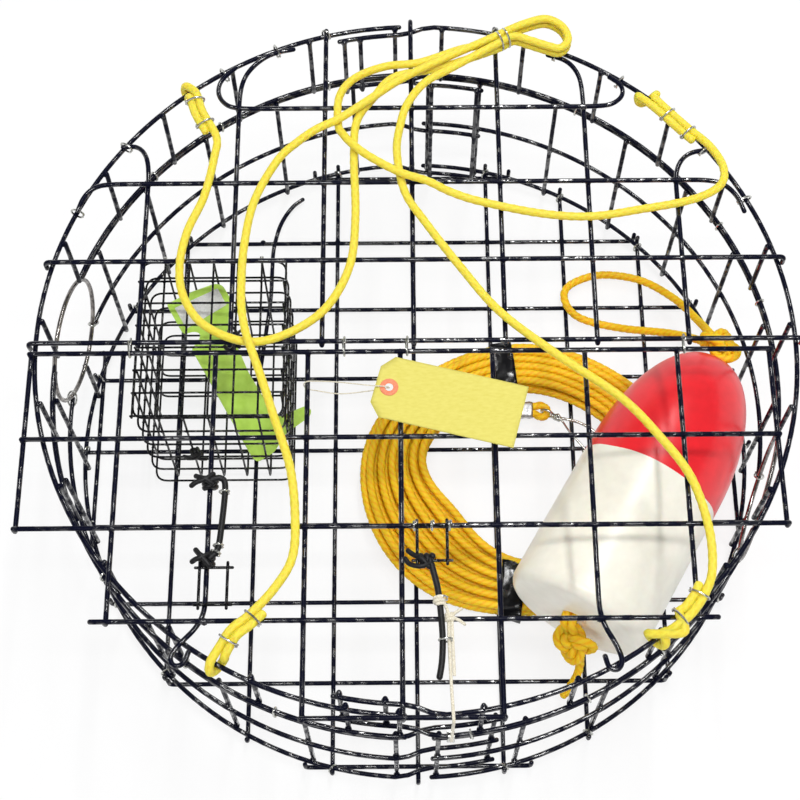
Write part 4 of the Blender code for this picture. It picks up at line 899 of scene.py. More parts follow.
def hog_ring(skin, centre, normal, along, half_long, half_short, mouth=-20.0):
    """A closed C of springy wire: an oval round the normal, its points passing each other."""
    normal = Vector(normal).normalized()
    long_way = Vector(along)
    long_way = (long_way - normal * long_way.dot(normal)).normalized()
    short_way = normal.cross(long_way)
    points = []
    for step in range(25):
        share = step / 24
        angle = math.radians(mouth + 375 * share)
        points.append(Vector(centre) + long_way * half_long * math.cos(angle)
                      + short_way * half_short * math.sin(angle)
                      + normal * HOG_WIRE * 1.05 * (share - 0.5))
    skin.tube(points, HOG_WIRE / 2, 7, dome=1.6)


def rope_ring(skin, centre, normal, along, half_long, half_short):
    hog_ring(skin, centre, normal, along, half_long + HOG_WIRE / 2, half_short + HOG_WIRE / 2)


class TRAP_OT_rings(bpy.types.Operator):
    """Hog rings at the seams and hinge, and the two entry rings"""
    bl_idname = "crab_trap.rings"
    bl_label = "Rings"

    def execute(self, context):
        zinc = finish_of(hot_dip_galvanised)
        for side, angle in RING_ANGLES.items():
            skin = Skin()
            centre = polar(CAGE_RADIUS - HALF, angle, RING_HEIGHT)
            sideways = polar(1, angle + 90, 0)
            upright = Vector((0, 0, 1))
            rim = [centre + (sideways * math.cos(turn) + upright * math.sin(turn)) * RING_RADIUS
                   for turn in np.linspace(0, 2 * math.pi, 72, endpoint=False)]
            skin.tube(rim, RING_WIRE / 2, 14, closed=True)
            # The ring's ends are welded at its foot
            skin.ball(centre - upright * RING_RADIUS, (0.0042, 0.0031, 0.0031),
                      (sideways, polar(1, angle, 0), upright))
            skin.piece(f"entry_hoop_{side}", finish_of(painted_reflection_zinc), "cage", "galvanised",
                       f"entry_ring_{side}")
        self.hinge(zinc)
        self.seams(zinc)
        return {"FINISHED"}

    def hinge(self, zinc):
        skin = Skin()
        middle = (ROOF_EDGE_Y + LID_EDGE_Y) / 2
        for x in HINGE_CLIPS:
            hog_ring(skin, (x, middle, ROOF_ROW_Z), (1, 0.05, 0), (0, 1, 0), *HINGE_HOG)
        skin.piece("hinge_hog_rings", zinc, "lid", "galvanised",
                   "hinge_ring_1", "hinge_ring_2", "hinge_ring_3", "hinge_ring_4")

    def seams(self, zinc):
        skin = Skin()
        seam = (LAP_HOOP_Z + UPPER_HOOP_Z) / 2
        for side, steps in (("right", 5.75), ("left", -3.25), ("left", 3.25), ("right", 3.4),
                            ("right", 2.3), ("right", -2.35), ("right", -3.3), ("right", -4.6),
                            ("left", -4.7), ("left", 4.6), ("left", 5.7), ("left", -2.2)):
            angle = RING_ANGLES[side] + BAR_STEP * steps
            hog_ring(skin, polar(CAGE_RADIUS, angle, seam), polar(1, angle + 90, 0.1), (0, 0, 1),
                     *SEAM_HOG)
        floor_z = (BASE_HOOP_Z + FLOOR_BAR_Z) / 2
        roof_z = (CAGE_HEIGHT + ROOF_BAR_Z) / 2
        places = [(MESH_PITCH * step, side, floor_z) for step, side in
                  ((-1, 1), (0, 1), (1, 1), (2, 1), (3, 1), (-3, -1), (-1, -1), (1, -1), (2, -1))]
        places += [(ROOF_SHIFT + MESH_PITCH * step, 1, roof_z) for step in (-1, 1)]
        for x, side, height in places:
            self.pair(skin, (x, side * math.sqrt(CAGE_RADIUS ** 2 - x * x)), (0, 1), height)
        row_z = (BASE_HOOP_Z + FLOOR_ROW_Z) / 2 + 0.0010
        for side, steps in ((-1, (-2, -1, 0, 1, 2)), (1, (-2, 0, 1, 2))):
            for step in steps:
                across = math.sqrt(CAGE_RADIUS ** 2 - (MESH_PITCH * step) ** 2)
                self.pair(skin, (side * across, MESH_PITCH * step), (1, 0), row_z)
        for x, y in ((-0.356, 0.150), (0.349, 0.160), (-0.309, 0.231), (0.312, 0.221),
                     (-0.150, 0.354), (0.158, 0.346), (-0.206, 0.322), (0.226, 0.310)):
            rim = Vector((x, y, 0)).normalized() * CAGE_RADIUS
            outer = Vector((x, y, 0)).lerp(rim, 0.5)
            gap = (rim - Vector((x, y, 0))).length / 2
            hog_ring(skin, (outer.x, outer.y, roof_z), (-y, x, 0), (x, y, -0.25 * CAGE_RADIUS),
                     gap + 0.0052, 0.0058, 150)
        drop = MID_HOOP_Z - RING_HEIGHT
        swing = math.asin(drop / RING_RADIUS) + math.radians(6.7)
        for side, angle in RING_ANGLES.items():
            centre = polar(CAGE_RADIUS - HALF, angle, RING_HEIGHT)
            for sign in (1, -1):
                sideways = polar(sign, angle + 90, 0)
                outward = sideways * math.cos(swing) + Vector((0, 0, math.sin(swing)))
                along = Vector((0, 0, math.cos(swing))) - sideways * math.sin(swing)
                hog_ring(skin, centre + outward * (RING_RADIUS + 0.0041), along, outward,
                         *ENTRY_HOG)
        nodes = [f"{kind}_clip_{number}" for kind, count in (("wall", 3), ("floor", 3), ("roof", 2))
                 for number in range(1, count + 1)]
        nodes += [f"ring_clip_{side}_{number}" for side in RING_ANGLES for number in (1, 2)]
        skin.piece("seam_hog_rings", zinc, "cage", "galvanised", *nodes)

    @staticmethod
    def pair(skin, place, wire, height):
        """A ring round the hoop and a wire that crosses it at a slant."""
        x, y = place
        tangent = Vector((-y, x, 0)).normalized()
        ahead = Vector((*wire, 0))
        normal = tangent + ahead * math.copysign(1, tangent.dot(ahead) or 1)
        hog_ring(skin, (x, y, height), normal, (0, 0, 1), *HOOP_HOG)


# ---- ropes


def coil_band(turn):
    """Middle and width of the bundle of turns in one direction; it slumps inwards on one side."""
    wide = COIL_WIDER * max(0.0, -math.cos(turn)) ** 1.5
    slump = COIL_SLUMP * max(0.0, math.cos(turn - math.radians(COIL_SLUMPED))) ** 4
    return -0.5 * COIL_WIDTH * slump, COIL_WIDTH * (1 + wide + slump)


def coil_route():
    """One rope laid in and out again, climbing where the spiral turns back.

    On the wide left side each layer lies over the gaps of the one below it.
    """
    places = []
    count, climb = round(COIL_TURNS * COIL_STEPS), COIL_STEPS // 2
    for layer in range(COIL_LAYERS):
        outer = 0.5 if layer % 2 == 0 else -0.5
        places += [(outer * (1 - 2 * number / count), layer) for number in range(count)]
        if layer < COIL_LAYERS - 1:
            places += [(-outer, layer + number / climb) for number in range(climb)]
    rest = round((COIL_START + 180 - COIL_END) * COIL_STEPS / 360)
    places += [(-0.5, COIL_LAYERS - 1)] * rest
    x, y = COIL_CENTRE
    base = FLOOR_TOP + COIL_RAISE + MAIN_LINE / 2
    route = []
    for number, (side, layer) in enumerate(places):
        turn = math.radians(COIL_START) - 2 * math.pi * number / COIL_STEPS
        middle, width = coil_band(turn)
        wander = 0.0030 * math.sin(2 * turn + 0.8) + 0.0016 * math.sin(5 * turn)
        reach = middle + side * width + wander
        route.append(Vector((x + (COIL_HALF_X + reach) * math.cos(turn),
                             y + (COIL_HALF_Y + reach) * math.sin(turn),
                             base + layer * COIL_LAYER)))
    return route


def line_tube(skin, route, closed=False):
    """A length of the laid line."""
    lay = bpy.context.scene.trap_ropes.lay
    skin.tube(route, LINE_SWELL * MAIN_LINE / 2, 12, closed=closed, section=laid(lay))


def snap_point(along, across, up=0.0):
    """A place on the line snap, measured from its neck."""
    heading = math.radians(SNAP_HEADING)
    forward = Vector((math.cos(heading), math.sin(heading), SNAP_SLOPE)).normalized()
    left = Vector((-math.sin(heading), math.cos(heading), 0))
    return Vector(SNAP_NECK) + forward * along + left * across + forward.cross(left) * up


def buoy_frame():
    heading = math.radians(BUOY_HEADING)
    axis = Vector((math.cos(heading), math.sin(heading), 0))
    turn = axis.to_track_quat("Z", "Y").to_matrix().to_4x4()
    middle = polar(CAGE_RADIUS - BUOY_IN, BUOY_PLACE, COIL_TOP + GAP + BUOY_DIAMETER / 2)
    turn.translation = middle - axis * BUOY_LENGTH / 2
    return turn, axis


def hitch(leg):
    """One turn round the top hoop, from the free end to the top of the hoop."""
    angle, drift = HITCHES[leg]
    points = []
    for turned in (-215, -180, -140, -100, -60, -20, 20, 55, 90):
        spin = math.radians(turned)
        around = angle + drift * (90 - turned) / 360
        points.append(polar(CAGE_RADIUS + HITCH_RADIUS * math.cos(spin), around,
                            CAGE_HEIGHT + HITCH_RADIUS * math.sin(spin)))
    return points


# Each leg from the hoop to the knot: x, y and the layer it lies in
HARNESS_LEGS = {
    "a": [(-.236, .294, -.5), (-.228, .268, 0), (-.212, .236, 0), (-.213, .211, 0),
          (-.222, .162, 0), (-.238, .119, 0), (-.244, .078, 0), (-.238, .042, 0),
          (-.216, .010, 0), (-.174, -.009, 0), (-.134, -.002, 0), (-.093, .027, 0),
          (-.068, .076, 0), (-.062, .136, 0), (-.064, .210, 0), (-.061, .254, 0),
          (-.043, .284, 0), (-.020, .311, 0), (.030, .323, 0)],
    "b": [(-.187, -.324, -.5), (-.177, -.310, 0), (-.160, -.296, 0), (-.137, -.270, 0),
          (-.121, -.240, 0), (-.119, -.199, 0), (-.125, -.147, 0), (-.142, -.093, 0),
          (-.154, -.056, .4), (-.164, -.028, 1), (-.172, -.004, 1), (-.177, .022, 1),
          (-.179, .054, .3), (-.178, .101, 0), (-.169, .155, 0), (-.146, .204, .1),
          (-.124, .225, .6), (-.103, .239, 1), (-.079, .252, 1), (-.047, .276, 1),
          (-.014, .301, 1), (.030, .326, 1)],
    "c": [(.284, .263, -.85), (.300, .243, -.6), (.319, .219, -.2), (.330, .191, 0),
          (.323, .169, 0), (.292, .153, 0), (.238, .142, 0), (.185, .134, 0),
          (.133, .138, 0), (.070, .153, 0), (.038, .163, .4), (.014, .173, 1),
          (-.015, .184, 1), (-.046, .203, 1), (-.065, .219, 1), (-.075, .234, .5),
          (-.081, .250, 0), (-.080, .286, 0), (-.063, .310, 0), (-.030, .325, 0),
          (.008, .330, 0), (.053, .347, 0)],
    "d": [(.2365, -.3135, -.5), (.2455, -.3085, 0), (.259, -.297, 0), (.2725, -.278, 0),
          (.281, -.254, 0), (.281, -.213, 0), (.268, -.161, 0), (.241, -.118, 0),
          (.204, -.074, 0), (.146, -.029, 0), (.087, .022, 0), (.047, .075, 0),
          (.011, .129, 0), (-.010, .166, 0), (-.018, .215, 0), (-.014, .245, .7),
          (-.006, .270, 1), (.013, .297, 1), (.041, .315, 1)],
}


def harness_route(leg):
    return [Vector((x, y, ROPE_Z + HARNESS_STEP * layer)) for x, y, layer in HARNESS_LEGS[leg]]


def harness_eye(layer):
    """From the lower lane of the knot round the lifting eye to the upper lane."""
    side = KNOT_SIDE * (HARNESS_ROPE / 2 + 0.0004)
    height = ROPE_Z + HARNESS_STEP * layer
    middle = Vector((*HARNESS_KNOT, height))
    around = [(.128, .352), (.146, .345), (.162, .341), (.171, .353), (.165, .370), (.148, .380),
              (.127, .375)]
    start, end = middle - KNOT_RUN * 0.013, middle + KNOT_RUN * 0.010
    return [start - side, end - side, *[Vector((x, y, height)) for x, y in around],
            end + side, start + side]


class TRAP_OT_ropes(bpy.types.Operator):
    """Coiled main line, float line and harness"""
    bl_idname = "crab_trap.ropes"
    bl_label = "Ropes"

    def execute(self, context):
        self.main_line()
        self.tapes()
        self.float_line()
        self.harness()
        return {"FINISHED"}

    def main_line(self):
        points = coil_route()
        last = points[-1]
        lane = MAIN_LINE / 2 + 0.0004
        tail = [(last.x + 0.020, last.y + 0.004, last.z), (0.080, 0.0565, last.z - 0.001),
                (0.095, 0.0555, 0.0270), (0.110, 0.0525, 0.0190), (0.124, 0.0455 + lane, 0.0155),
                (0.142, 0.0450 + lane, 0.0155), (0.1510, 0.0500, 0.0180), (0.1580, 0.0450, 0.0185),
                (0.1570, 0.0370, 0.0185), (0.1500, 0.0350, 0.0180), (0.142, 0.0450 - lane, 0.0155),
                (0.124, 0.0455 - lane, 0.0155), (0.119, 0.0457 - lane, 0.0155)]
        route = curved([*points, *[Vector(point) for point in tail]], 0.0026)[::-1]
        skin = Skin()
        line_tube(skin, route)
        line = skin.piece("main_line_rope", finish_of(orange_twist), "cage", "orange_rope",
                          "main_line")

    def tapes(self):
        """Bands of tape drawn tight round the bundle of turns."""
        low, high = FLOOR_TOP + 0.0004, COIL_TOP + 0.0006
        for number, degrees in enumerate(TAPE_ANGLES, 1):
            angle = math.radians(degrees)
            middle, width = coil_band(angle)
            half_width = width / 2 + MAIN_LINE / 2 + 0.0024
            centre = Vector((COIL_CENTRE[0] + (COIL_HALF_X + middle) * math.cos(angle),
                             COIL_CENTRE[1] + (COIL_HALF_Y + middle) * math.sin(angle),
                             (low + high) / 2))
            tangent = Vector((-COIL_HALF_X * math.sin(angle), COIL_HALF_Y * math.cos(angle), 0))
            turn = Matrix.Rotation(math.atan2(tangent.y, tangent.x), 4, "Z")
            turn.translation = centre
            skin = Skin()
            rows, around = 9, 44
            points = []
            for row in range(rows):
                side = row / (rows - 1) - 0.5
                for count in range(around):
                    spin = 2 * math.pi * count / around
                    y = squared(math.cos(spin), 0.45) * half_width
                    z = squared(math.sin(spin), 0.45) * (high - low) / 2
                    # The turns under the band bulge its top; its foot lies flat on the floor
                    crown = 0.0022 * math.cos(math.pi * y / (2 * half_width)) if z > 0 else 0.0
                    lumps = crown + 0.0007 * math.cos(9 * spin + 5 * side) * (1 if z > 0 else 0.2)
                    pull = (1 - 0.03 * math.cos(math.pi * side)
                            + 0.012 * math.sin(3 * spin + 9 * side))
                    point = Vector((side * TAPE_WIDTH, y * pull, (z + lumps) * pull))
                    points.append(tuple(turn @ point))
            skin.add(points, ring_faces(rows, around))
            tape = skin.piece(f"tape_band_{number}", finish_of(wrapped_tape), "cage", "tape",
                              f"line_tape_{number}")
            thicken(tape, 0.0006, 1)

    def float_line(self):
        turn, axis = buoy_frame()
        base = turn.translation.copy()
        tip = base + axis * BUOY_LENGTH
        nose = tip + axis * 0.0240 + Vector((-0.003, 0.0015, 0.006))
        foot = base + Vector((0.0010, -0.0215, -0.0240))
        sideways = axis.cross(Vector((0, 0, 1))) * LINE_SWELL * MAIN_LINE
        orange = finish_of(orange_twist)
        # Each knot with the end of the bore it closes and the strands that run into that end
        for name, centre, tilt, size, mouth, inward, lanes in (
                ("nose_knot", nose, (0.1, -0.3, 1.00), 0.0062, tip, -axis, (-0.5, 0.5)),
                ("base_knot", foot, (-0.1, -0.2, -0.45), 0.0058, base, axis, (-0.9,))):
            skin = Skin()
            for path in overhand(centre, axis + Vector(tilt), size, 0.0064, 0.0043):
                line_tube(skin, even(curved(path, 0.002, True), 0.002)[:-1], closed=True)
            for lane in lanes:
                strand = (mouth + inward * 0.03, mouth - inward * 0.004, mouth.lerp(centre, 0.6),
                          centre)
                line_tube(skin, curved([point + sideways * lane for point in strand], 0.002))
            skin.piece(name, orange, "cage", "orange_rope")
        start = nose + Vector((-0.004, 0.006, -0.002))
        end = nose + Vector((-0.010, 0.000, -0.004))
        loop = curved([start, start + Vector((-0.006, 0.016, -0.010)), (0.3370, 0.140, 0.066),
                       (0.3180, 0.183, 0.036), (0.281, 0.219, 0.0165), (0.232, 0.228, LINE_FLOOR_Z),
                       (0.194, 0.214, LINE_FLOOR_Z), (0.187, 0.193, LINE_FLOOR_Z),
                       (0.204, 0.169, LINE_FLOOR_Z), (0.252, 0.153, 0.0170), (0.307, 0.128, 0.052),
                       (0.334, 0.100, 0.090), end + Vector((-0.008, 0.007, -0.006)), end], 0.0022)
        skin = Skin()
        line_tube(skin, loop)
        rope = skin.piece("float_line_rope", orange, "cage", "orange_rope", "buoy_line")
        tail = curved([base + axis * 0.02, base - axis * 0.006,
                       base + Vector((0.001, -0.015, -0.012)),
                       foot + Vector((0.003, -0.006, -0.012)), (0.1775, -0.2740, 0.066),
                       (0.1760, -0.2850, 0.050), (0.1690, -0.2960, 0.038),
                       (0.1620, -0.3030, 0.026)], 0.0022)
        skin = Skin()
        line_tube(skin, tail)
        end_piece = skin.piece("float_tail_rope", orange, "cage", "orange_rope")

    def harness(self):
        eye = {"a": harness_eye(0), "b": harness_eye(1)[::-1]}
        yellow = finish_of(yellow_braid)
        rings = Skin()
        for name, start, end in (("rear", "a", "c"), ("front", "b", "d")):
            corners = hitch(start) + harness_route(start) + eye[start]
            corners += (hitch(end) + harness_route(end))[::-1]
            route = curved(corners, 0.0016)
            skin = Skin()
            skin.tube(route, HARNESS_ROPE / 2, 16, section=braided())
            rope = skin.piece(f"harness_{name}_rope", yellow, "cage", "yellow_rope",
                              f"harness_{name}")
            for leg in (start, end):
                tail = Skin()
                turned = self.folded_end(tail, rings, leg)
                back = tail.piece(f"harness_tail_{leg}", yellow, "cage", "yellow_rope")
        centre = Vector((*HARNESS_KNOT, ROPE_Z + HARNESS_STEP / 2))
        for shift in (-0.0045, 0.0040):
            rope_ring(rings, centre + KNOT_RUN * shift, KNOT_RUN + Vector((0.05, -0.1, 0)),
                      KNOT_SIDE, 0.0094, 0.0098)
        rings.piece("harness_hog_rings", finish_of(hot_dip_galvanised), "cage", "galvanised",
                    "harness_clip")

    def folded_end(self, skin, rings, leg):
        """The rope's end, turned back beside its own leg and ringed to it."""
        loop = hitch(leg)
        path = curved([loop[-1], *harness_route(leg)[:5]], 0.002)
        angle, drift = HITCHES[leg]
        outward = polar(math.copysign(1, drift), angle + 90, 0)
        first, shifted = 4, []
        for number in range(first, first + 30):
            here, there = Vector(path[number]), Vector(path[number + 1])
            ahead = (there - here).normalized()
            side = Vector((-ahead.y, ahead.x, 0)).normalized()
            side *= math.copysign(1, side.dot(outward))
            shifted.append(here + side * (HARNESS_ROPE * 0.93))
        corners = [loop[0], loop[0].lerp(shifted[3], 0.5) + Vector((0, 0, 0.001))]
        corners += shifted[5::4]
        turned = curved(corners, 0.0016)
        skin.tube(turned, HARNESS_ROPE / 2, 16, section=braided(), dome=0.6)
        for number in (12, 28):
            here, there = Vector(path[number]), Vector(path[number + 1])
            ahead = (there - here).normalized()
            beside = shifted[number - first]
            rope_ring(rings, (here + beside) / 2, ahead, beside - here, 0.0091, 0.0050)
        return turned


# ---- bait cage


def spread(low, high, cells):
    return [low + (high - low) * step / cells for step in range(cells + 1)]


class TRAP_OT_bait(bpy.types.Operator):
    """Bait cage of fine mesh, its lid and the gauge kept in it"""
    bl_idname = "crab_trap.bait"
    bl_label = "Bait cage"

    def execute(self, context):
        mesh = finish_of(vinyl_fine_mesh)
        left, front = BAIT_CORNER
        right, rear = left + BAIT_WIDTH, front + BAIT_DEPTH
        low = FLOOR_TOP + BAIT_WIRE / 2
        high = low + BAIT_HEIGHT
        thick, inset = BAIT_ROUND / 2, 0.8 * BAIT_WIRE
        across, deep, tall = BAIT_CELLS
        xs, ys, heights = (spread(left, right, across), spread(front, rear, deep),
                           spread(low, high, tall))
        skin = Skin()
        middle = (left + right) / 2
        for height in heights:
            loop = [(x, y, height) for x, y in ((middle, front), (right, front), (right, rear),
                                                (left, rear), (left, front), (middle, front))]
            skin.tube(rounded(loop, 0.014)[:-1], thick, 7, closed=True)
        # Wires bent to a U, up both sides of the cage
        ends, rim = (left + inset, right - inset), high + thick
        routes = [[(ends[0], y, rim), (ends[0], y, low), (ends[1], y, low), (ends[1], y, rim)]
                  for y in ys[1:-1]]
        ends, foot = (front + inset, rear - inset), low + inset
        routes += [[(x, ends[0], rim), (x, ends[0], foot), (x, ends[1], foot), (x, ends[1], rim)]
                   for x in xs[1:-1]]
        for route in routes:
            skin.tube(rounded(route, BAIT_BEND), thick, 7)
        joints = [(x, y) for y in ys[1:-1] for x in (left, right)]
        joints += [(x, y) for x in xs[1:-1] for y in (front, rear)]
        for height in heights[1:]:
            for x, y in joints:
                skin.ball((x, y, height), (0.0019, 0.0019, 0.0021), rows=4, sides=6)
        skin.piece("bait_basket", mesh, "cage", "bait_wire", "bait_cage")
        self.front_knot(xs, front, (low + high) / 2)
        self.cover(mesh, xs, ys, high, left, right, front, rear)
        self.gauge()
        return {"FINISHED"}

    def front_knot(self, xs, front, height):
        """Rubber strip knotted round a joint of the front net."""
        at = Vector((xs[2] + 0.004, front - 0.002, height))
        skin = Skin()
        skin.tube(helix(at, (1, 0.2, 0.3), 0.0040, 0.0036, 2.6), 0.0020, 8)
        for tail in (((0.006, -0.002, 0.004), (0.000, -0.007, 0.000), (-0.010, -0.006, -0.004)),
                     ((-0.004, -0.003, 0.003), (0.004, -0.007, -0.002), (0.011, -0.005, -0.008)),
                     ((0.002, -0.004, 0.004), (-0.006, -0.008, 0.006), (-0.013, -0.006, 0.003))):
            skin.tube(curved([at + Vector(point) for point in tail], 0.0012), 0.0020, 8)
        skin.piece("bait_front_knot", finish_of(cut_rubber), "cage", "rubber")

    def cover(self, mesh, xs, ys, high, left, right, front, rear):
        thick = BAIT_ROUND / 2
        lid_low = high + BAIT_WIRE + GAP
        lid_high = lid_low + 0.8 * BAIT_WIRE
        skin = Skin()
        for x in xs:
            skin.tube([(x, front - 0.001, lid_low), (x, rear, lid_low)], thick, 7)
        for y in ys:
            skin.tube([(left - thick, y, lid_high), (right + thick, y, lid_high)], thick, 7)
            for x in xs:
                skin.ball((x, y, (lid_low + lid_high) / 2), (0.0021, 0.0021, 0.0024), rows=4,
                          sides=6)
        skin.piece("bait_cover", mesh, "bait_door", "bait_wire", "bait_lid")
        rings = Skin()
        spacing = BAIT_WIDTH / 3
        for x in (left + 0.5 * spacing, right - 0.5 * spacing):
            hog_ring(rings, (x, rear, (high + lid_high) / 2), (1, 0, 0), (0, 0, 1), 0.0060, 0.0034)
        rings.piece("bait_hog_rings", finish_of(hot_dip_galvanised), "bait_door", "galvanised",
                    "bait_ring_1", "bait_ring_2")
        tie = Skin()
        at = Vector((right - spacing, front + 1.5 * BAIT_DEPTH / 3, lid_low))
        for shift, drop in ((0.0, -0.021), (0.006, -0.015), (-0.007, -0.017)):
            tie.tube(curved([at + Vector(point) for point in
                             ((0.002, 0.0, 0.005), (shift * 0.6, drop * 0.5, 0.0075),
                              (shift, drop, 0.0050), (shift - 0.004, drop * 0.8, 0.0040))], 0.0012),
                     0.0020, 8)
        tie.tube(helix(at, (0, 1, 0), 0.0034, 0.0034, 2.6), 0.0016, 8)
        tie.tube(curved([at + Vector(point) for point in
                         ((0.012, 0.009, 0.005), (0.006, 0.004, 0.0058), (-0.002, -0.002, 0.0062),
                          (-0.007, 0.004, 0.0055), (-0.001, 0.007, 0.0075), (0.003, -0.006, 0.0070),
                          (-0.010, -0.011, 0.0045))], 0.0012), 0.0017, 8)
        tie.piece("bait_knot", finish_of(cut_rubber), "bait_door", "rubber", "bait_tie")

    def gauge(self):
        """Flat gauge of cut plastic sheet leaning in the bait cage, with a bare label."""
        bait_floor = FLOOR_TOP + 1.6 * BAIT_WIRE
        foot = Vector((*GAUGE_FOOT, bait_floor + GAP + 0.3 * GAUGE_THICK))
        head = Vector(GAUGE_HEAD)
        down = foot - head
        reach = down.length
        down.normalize()
        across = down.cross(Vector((0, 0, 1))).normalized() * -1
        outline = [(0.000, 0.000), (0.002, 0.030), (0.008, 0.060), (0.014, 0.067), (0.038, 0.068),
                   (0.060, 0.054), (0.076, 0.049), (0.119, 0.045), (0.157, 0.046), (0.187, 0.052),
                   (0.193, 0.086), (0.201, 0.090), (0.207, 0.084), (0.209, 0.050),
                   (reach, 0.026), (reach, 0.004), (reach - 0.007, 0.000),
                   (0.060, 0.000), (0.056, 0.013), (0.050, 0.018), (0.044, 0.013), (0.040, 0.000)]
        soft = rounded([(*outline[-1], 0), *[(*p, 0) for p in outline], (*outline[0], 0)], 0.004, 4)
        corners = [head + down * point[0] + across * (point[1] - GAUGE_MIDDLE)
                   for point in soft[1:-1]]
        mesh = bpy.data.meshes.new("crab_gauge")
        mesh.from_pydata([tuple(corner) for corner in corners], [], [tuple(range(len(corners)))])
        gauge = settle(bpy.data.objects.new("crab_gauge", mesh), finish_of(sheet_plastic), "cage",
                       "lime_plastic", "gauge")
        thicken(gauge, GAUGE_THICK, 0)
        edge = gauge.modifiers.new("edge", "BEVEL")
        edge.width, edge.segments, edge.limit_method = 0.0007, 2, "ANGLE"
        normal = down.cross(across).normalized()
        normal *= math.copysign(1, normal.z)
        label = bpy.data.meshes.new("gauge_label")
        face = head + normal * (GAUGE_THICK / 2 + 0.0002)
        label.from_pydata([tuple(face + down * a + across * (b - GAUGE_MIDDLE)) for a, b in
                           ((0.008, 0.006), (0.036, 0.006), (0.036, 0.060), (0.014, 0.060))],
                          [], [(0, 1, 2, 3)])
        patch = settle(bpy.data.objects.new("gauge_label", label), finish_of(label_stock), "cage",
                       "lime_plastic")
        thicken(patch, 0.0003, 0)


# ---- float


class TRAP_OT_float(bpy.types.Operator):
    """Bullet float with its bore"""
    bl_idname = "crab_trap.float"
    bl_label = "Float"

    def execute(self, context):
        turn, _ = buoy_frame()
        radius, bore = BUOY_DIAMETER / 2, BUOY_BORE / 2
        shoulder = 0.56 * BUOY_LENGTH
        profile = [(bore, 0.060), (bore, 0.004), (bore + 0.0025, 0.0008), (bore + 0.006, 0.0),
                   (0.50 * radius, 0.0), (0.86 * radius, 0.0)]
        for step in range(1, 8):
            angle = math.radians(90 * step / 7)
            profile.append((0.86 * radius + 0.14 * radius * math.sin(angle),
                            0.014 * (1 - math.cos(angle))))
        profile += [(radius, shoulder * share) for share in (0.25, 0.5, 0.75, 1.0)]
        top = math.radians(82)
        for step in range(1, 21):
            angle = top * step / 20
            height = shoulder + (BUOY_LENGTH - shoulder) * math.sin(angle) / math.sin(top)
            profile.append((radius * (0.13 + 0.87 * math.cos(angle)), height))
        profile += [(bore + 0.002, BUOY_LENGTH - 0.0004), (bore, BUOY_LENGTH - 0.003),
                    (bore, BUOY_LENGTH - 0.060)]
        around = 96
        points = [turn @ Vector((r * math.cos(2 * math.pi * k / around),
                                 r * math.sin(2 * math.pi * k / around), z))
                  for r, z in profile for k in range(around)]
        skin = Skin()
        skin.add([tuple(point) for point in points], ring_faces(len(profile), around, closed=True))
        buoy = skin.piece("bullet_float", float_paint(turn), "cage", "buoy_foam", "buoy")
        fix_normals(buoy)
        return {"FINISHED"}


# ---- fastenings


def mesh_scrap(skin, span_x, span_y, height, over=0.0045):
    """Four fine wires welded crosswise."""
    upper = height + 0.8 * BAIT_WIRE
    for y in span_y:
        skin.tube([(span_x[0] - over, y, height), (span_x[1] + over, y, height)], BAIT_WIRE / 2, 8)
    for x in span_x:
        skin.tube([(x, span_y[0] - over, upper), (x, span_y[1] + over, upper)], BAIT_WIRE / 2, 8)
        for y in span_y:
            skin.ball((x, y, (height + upper) / 2), (0.0022, 0.0022, 0.0025))


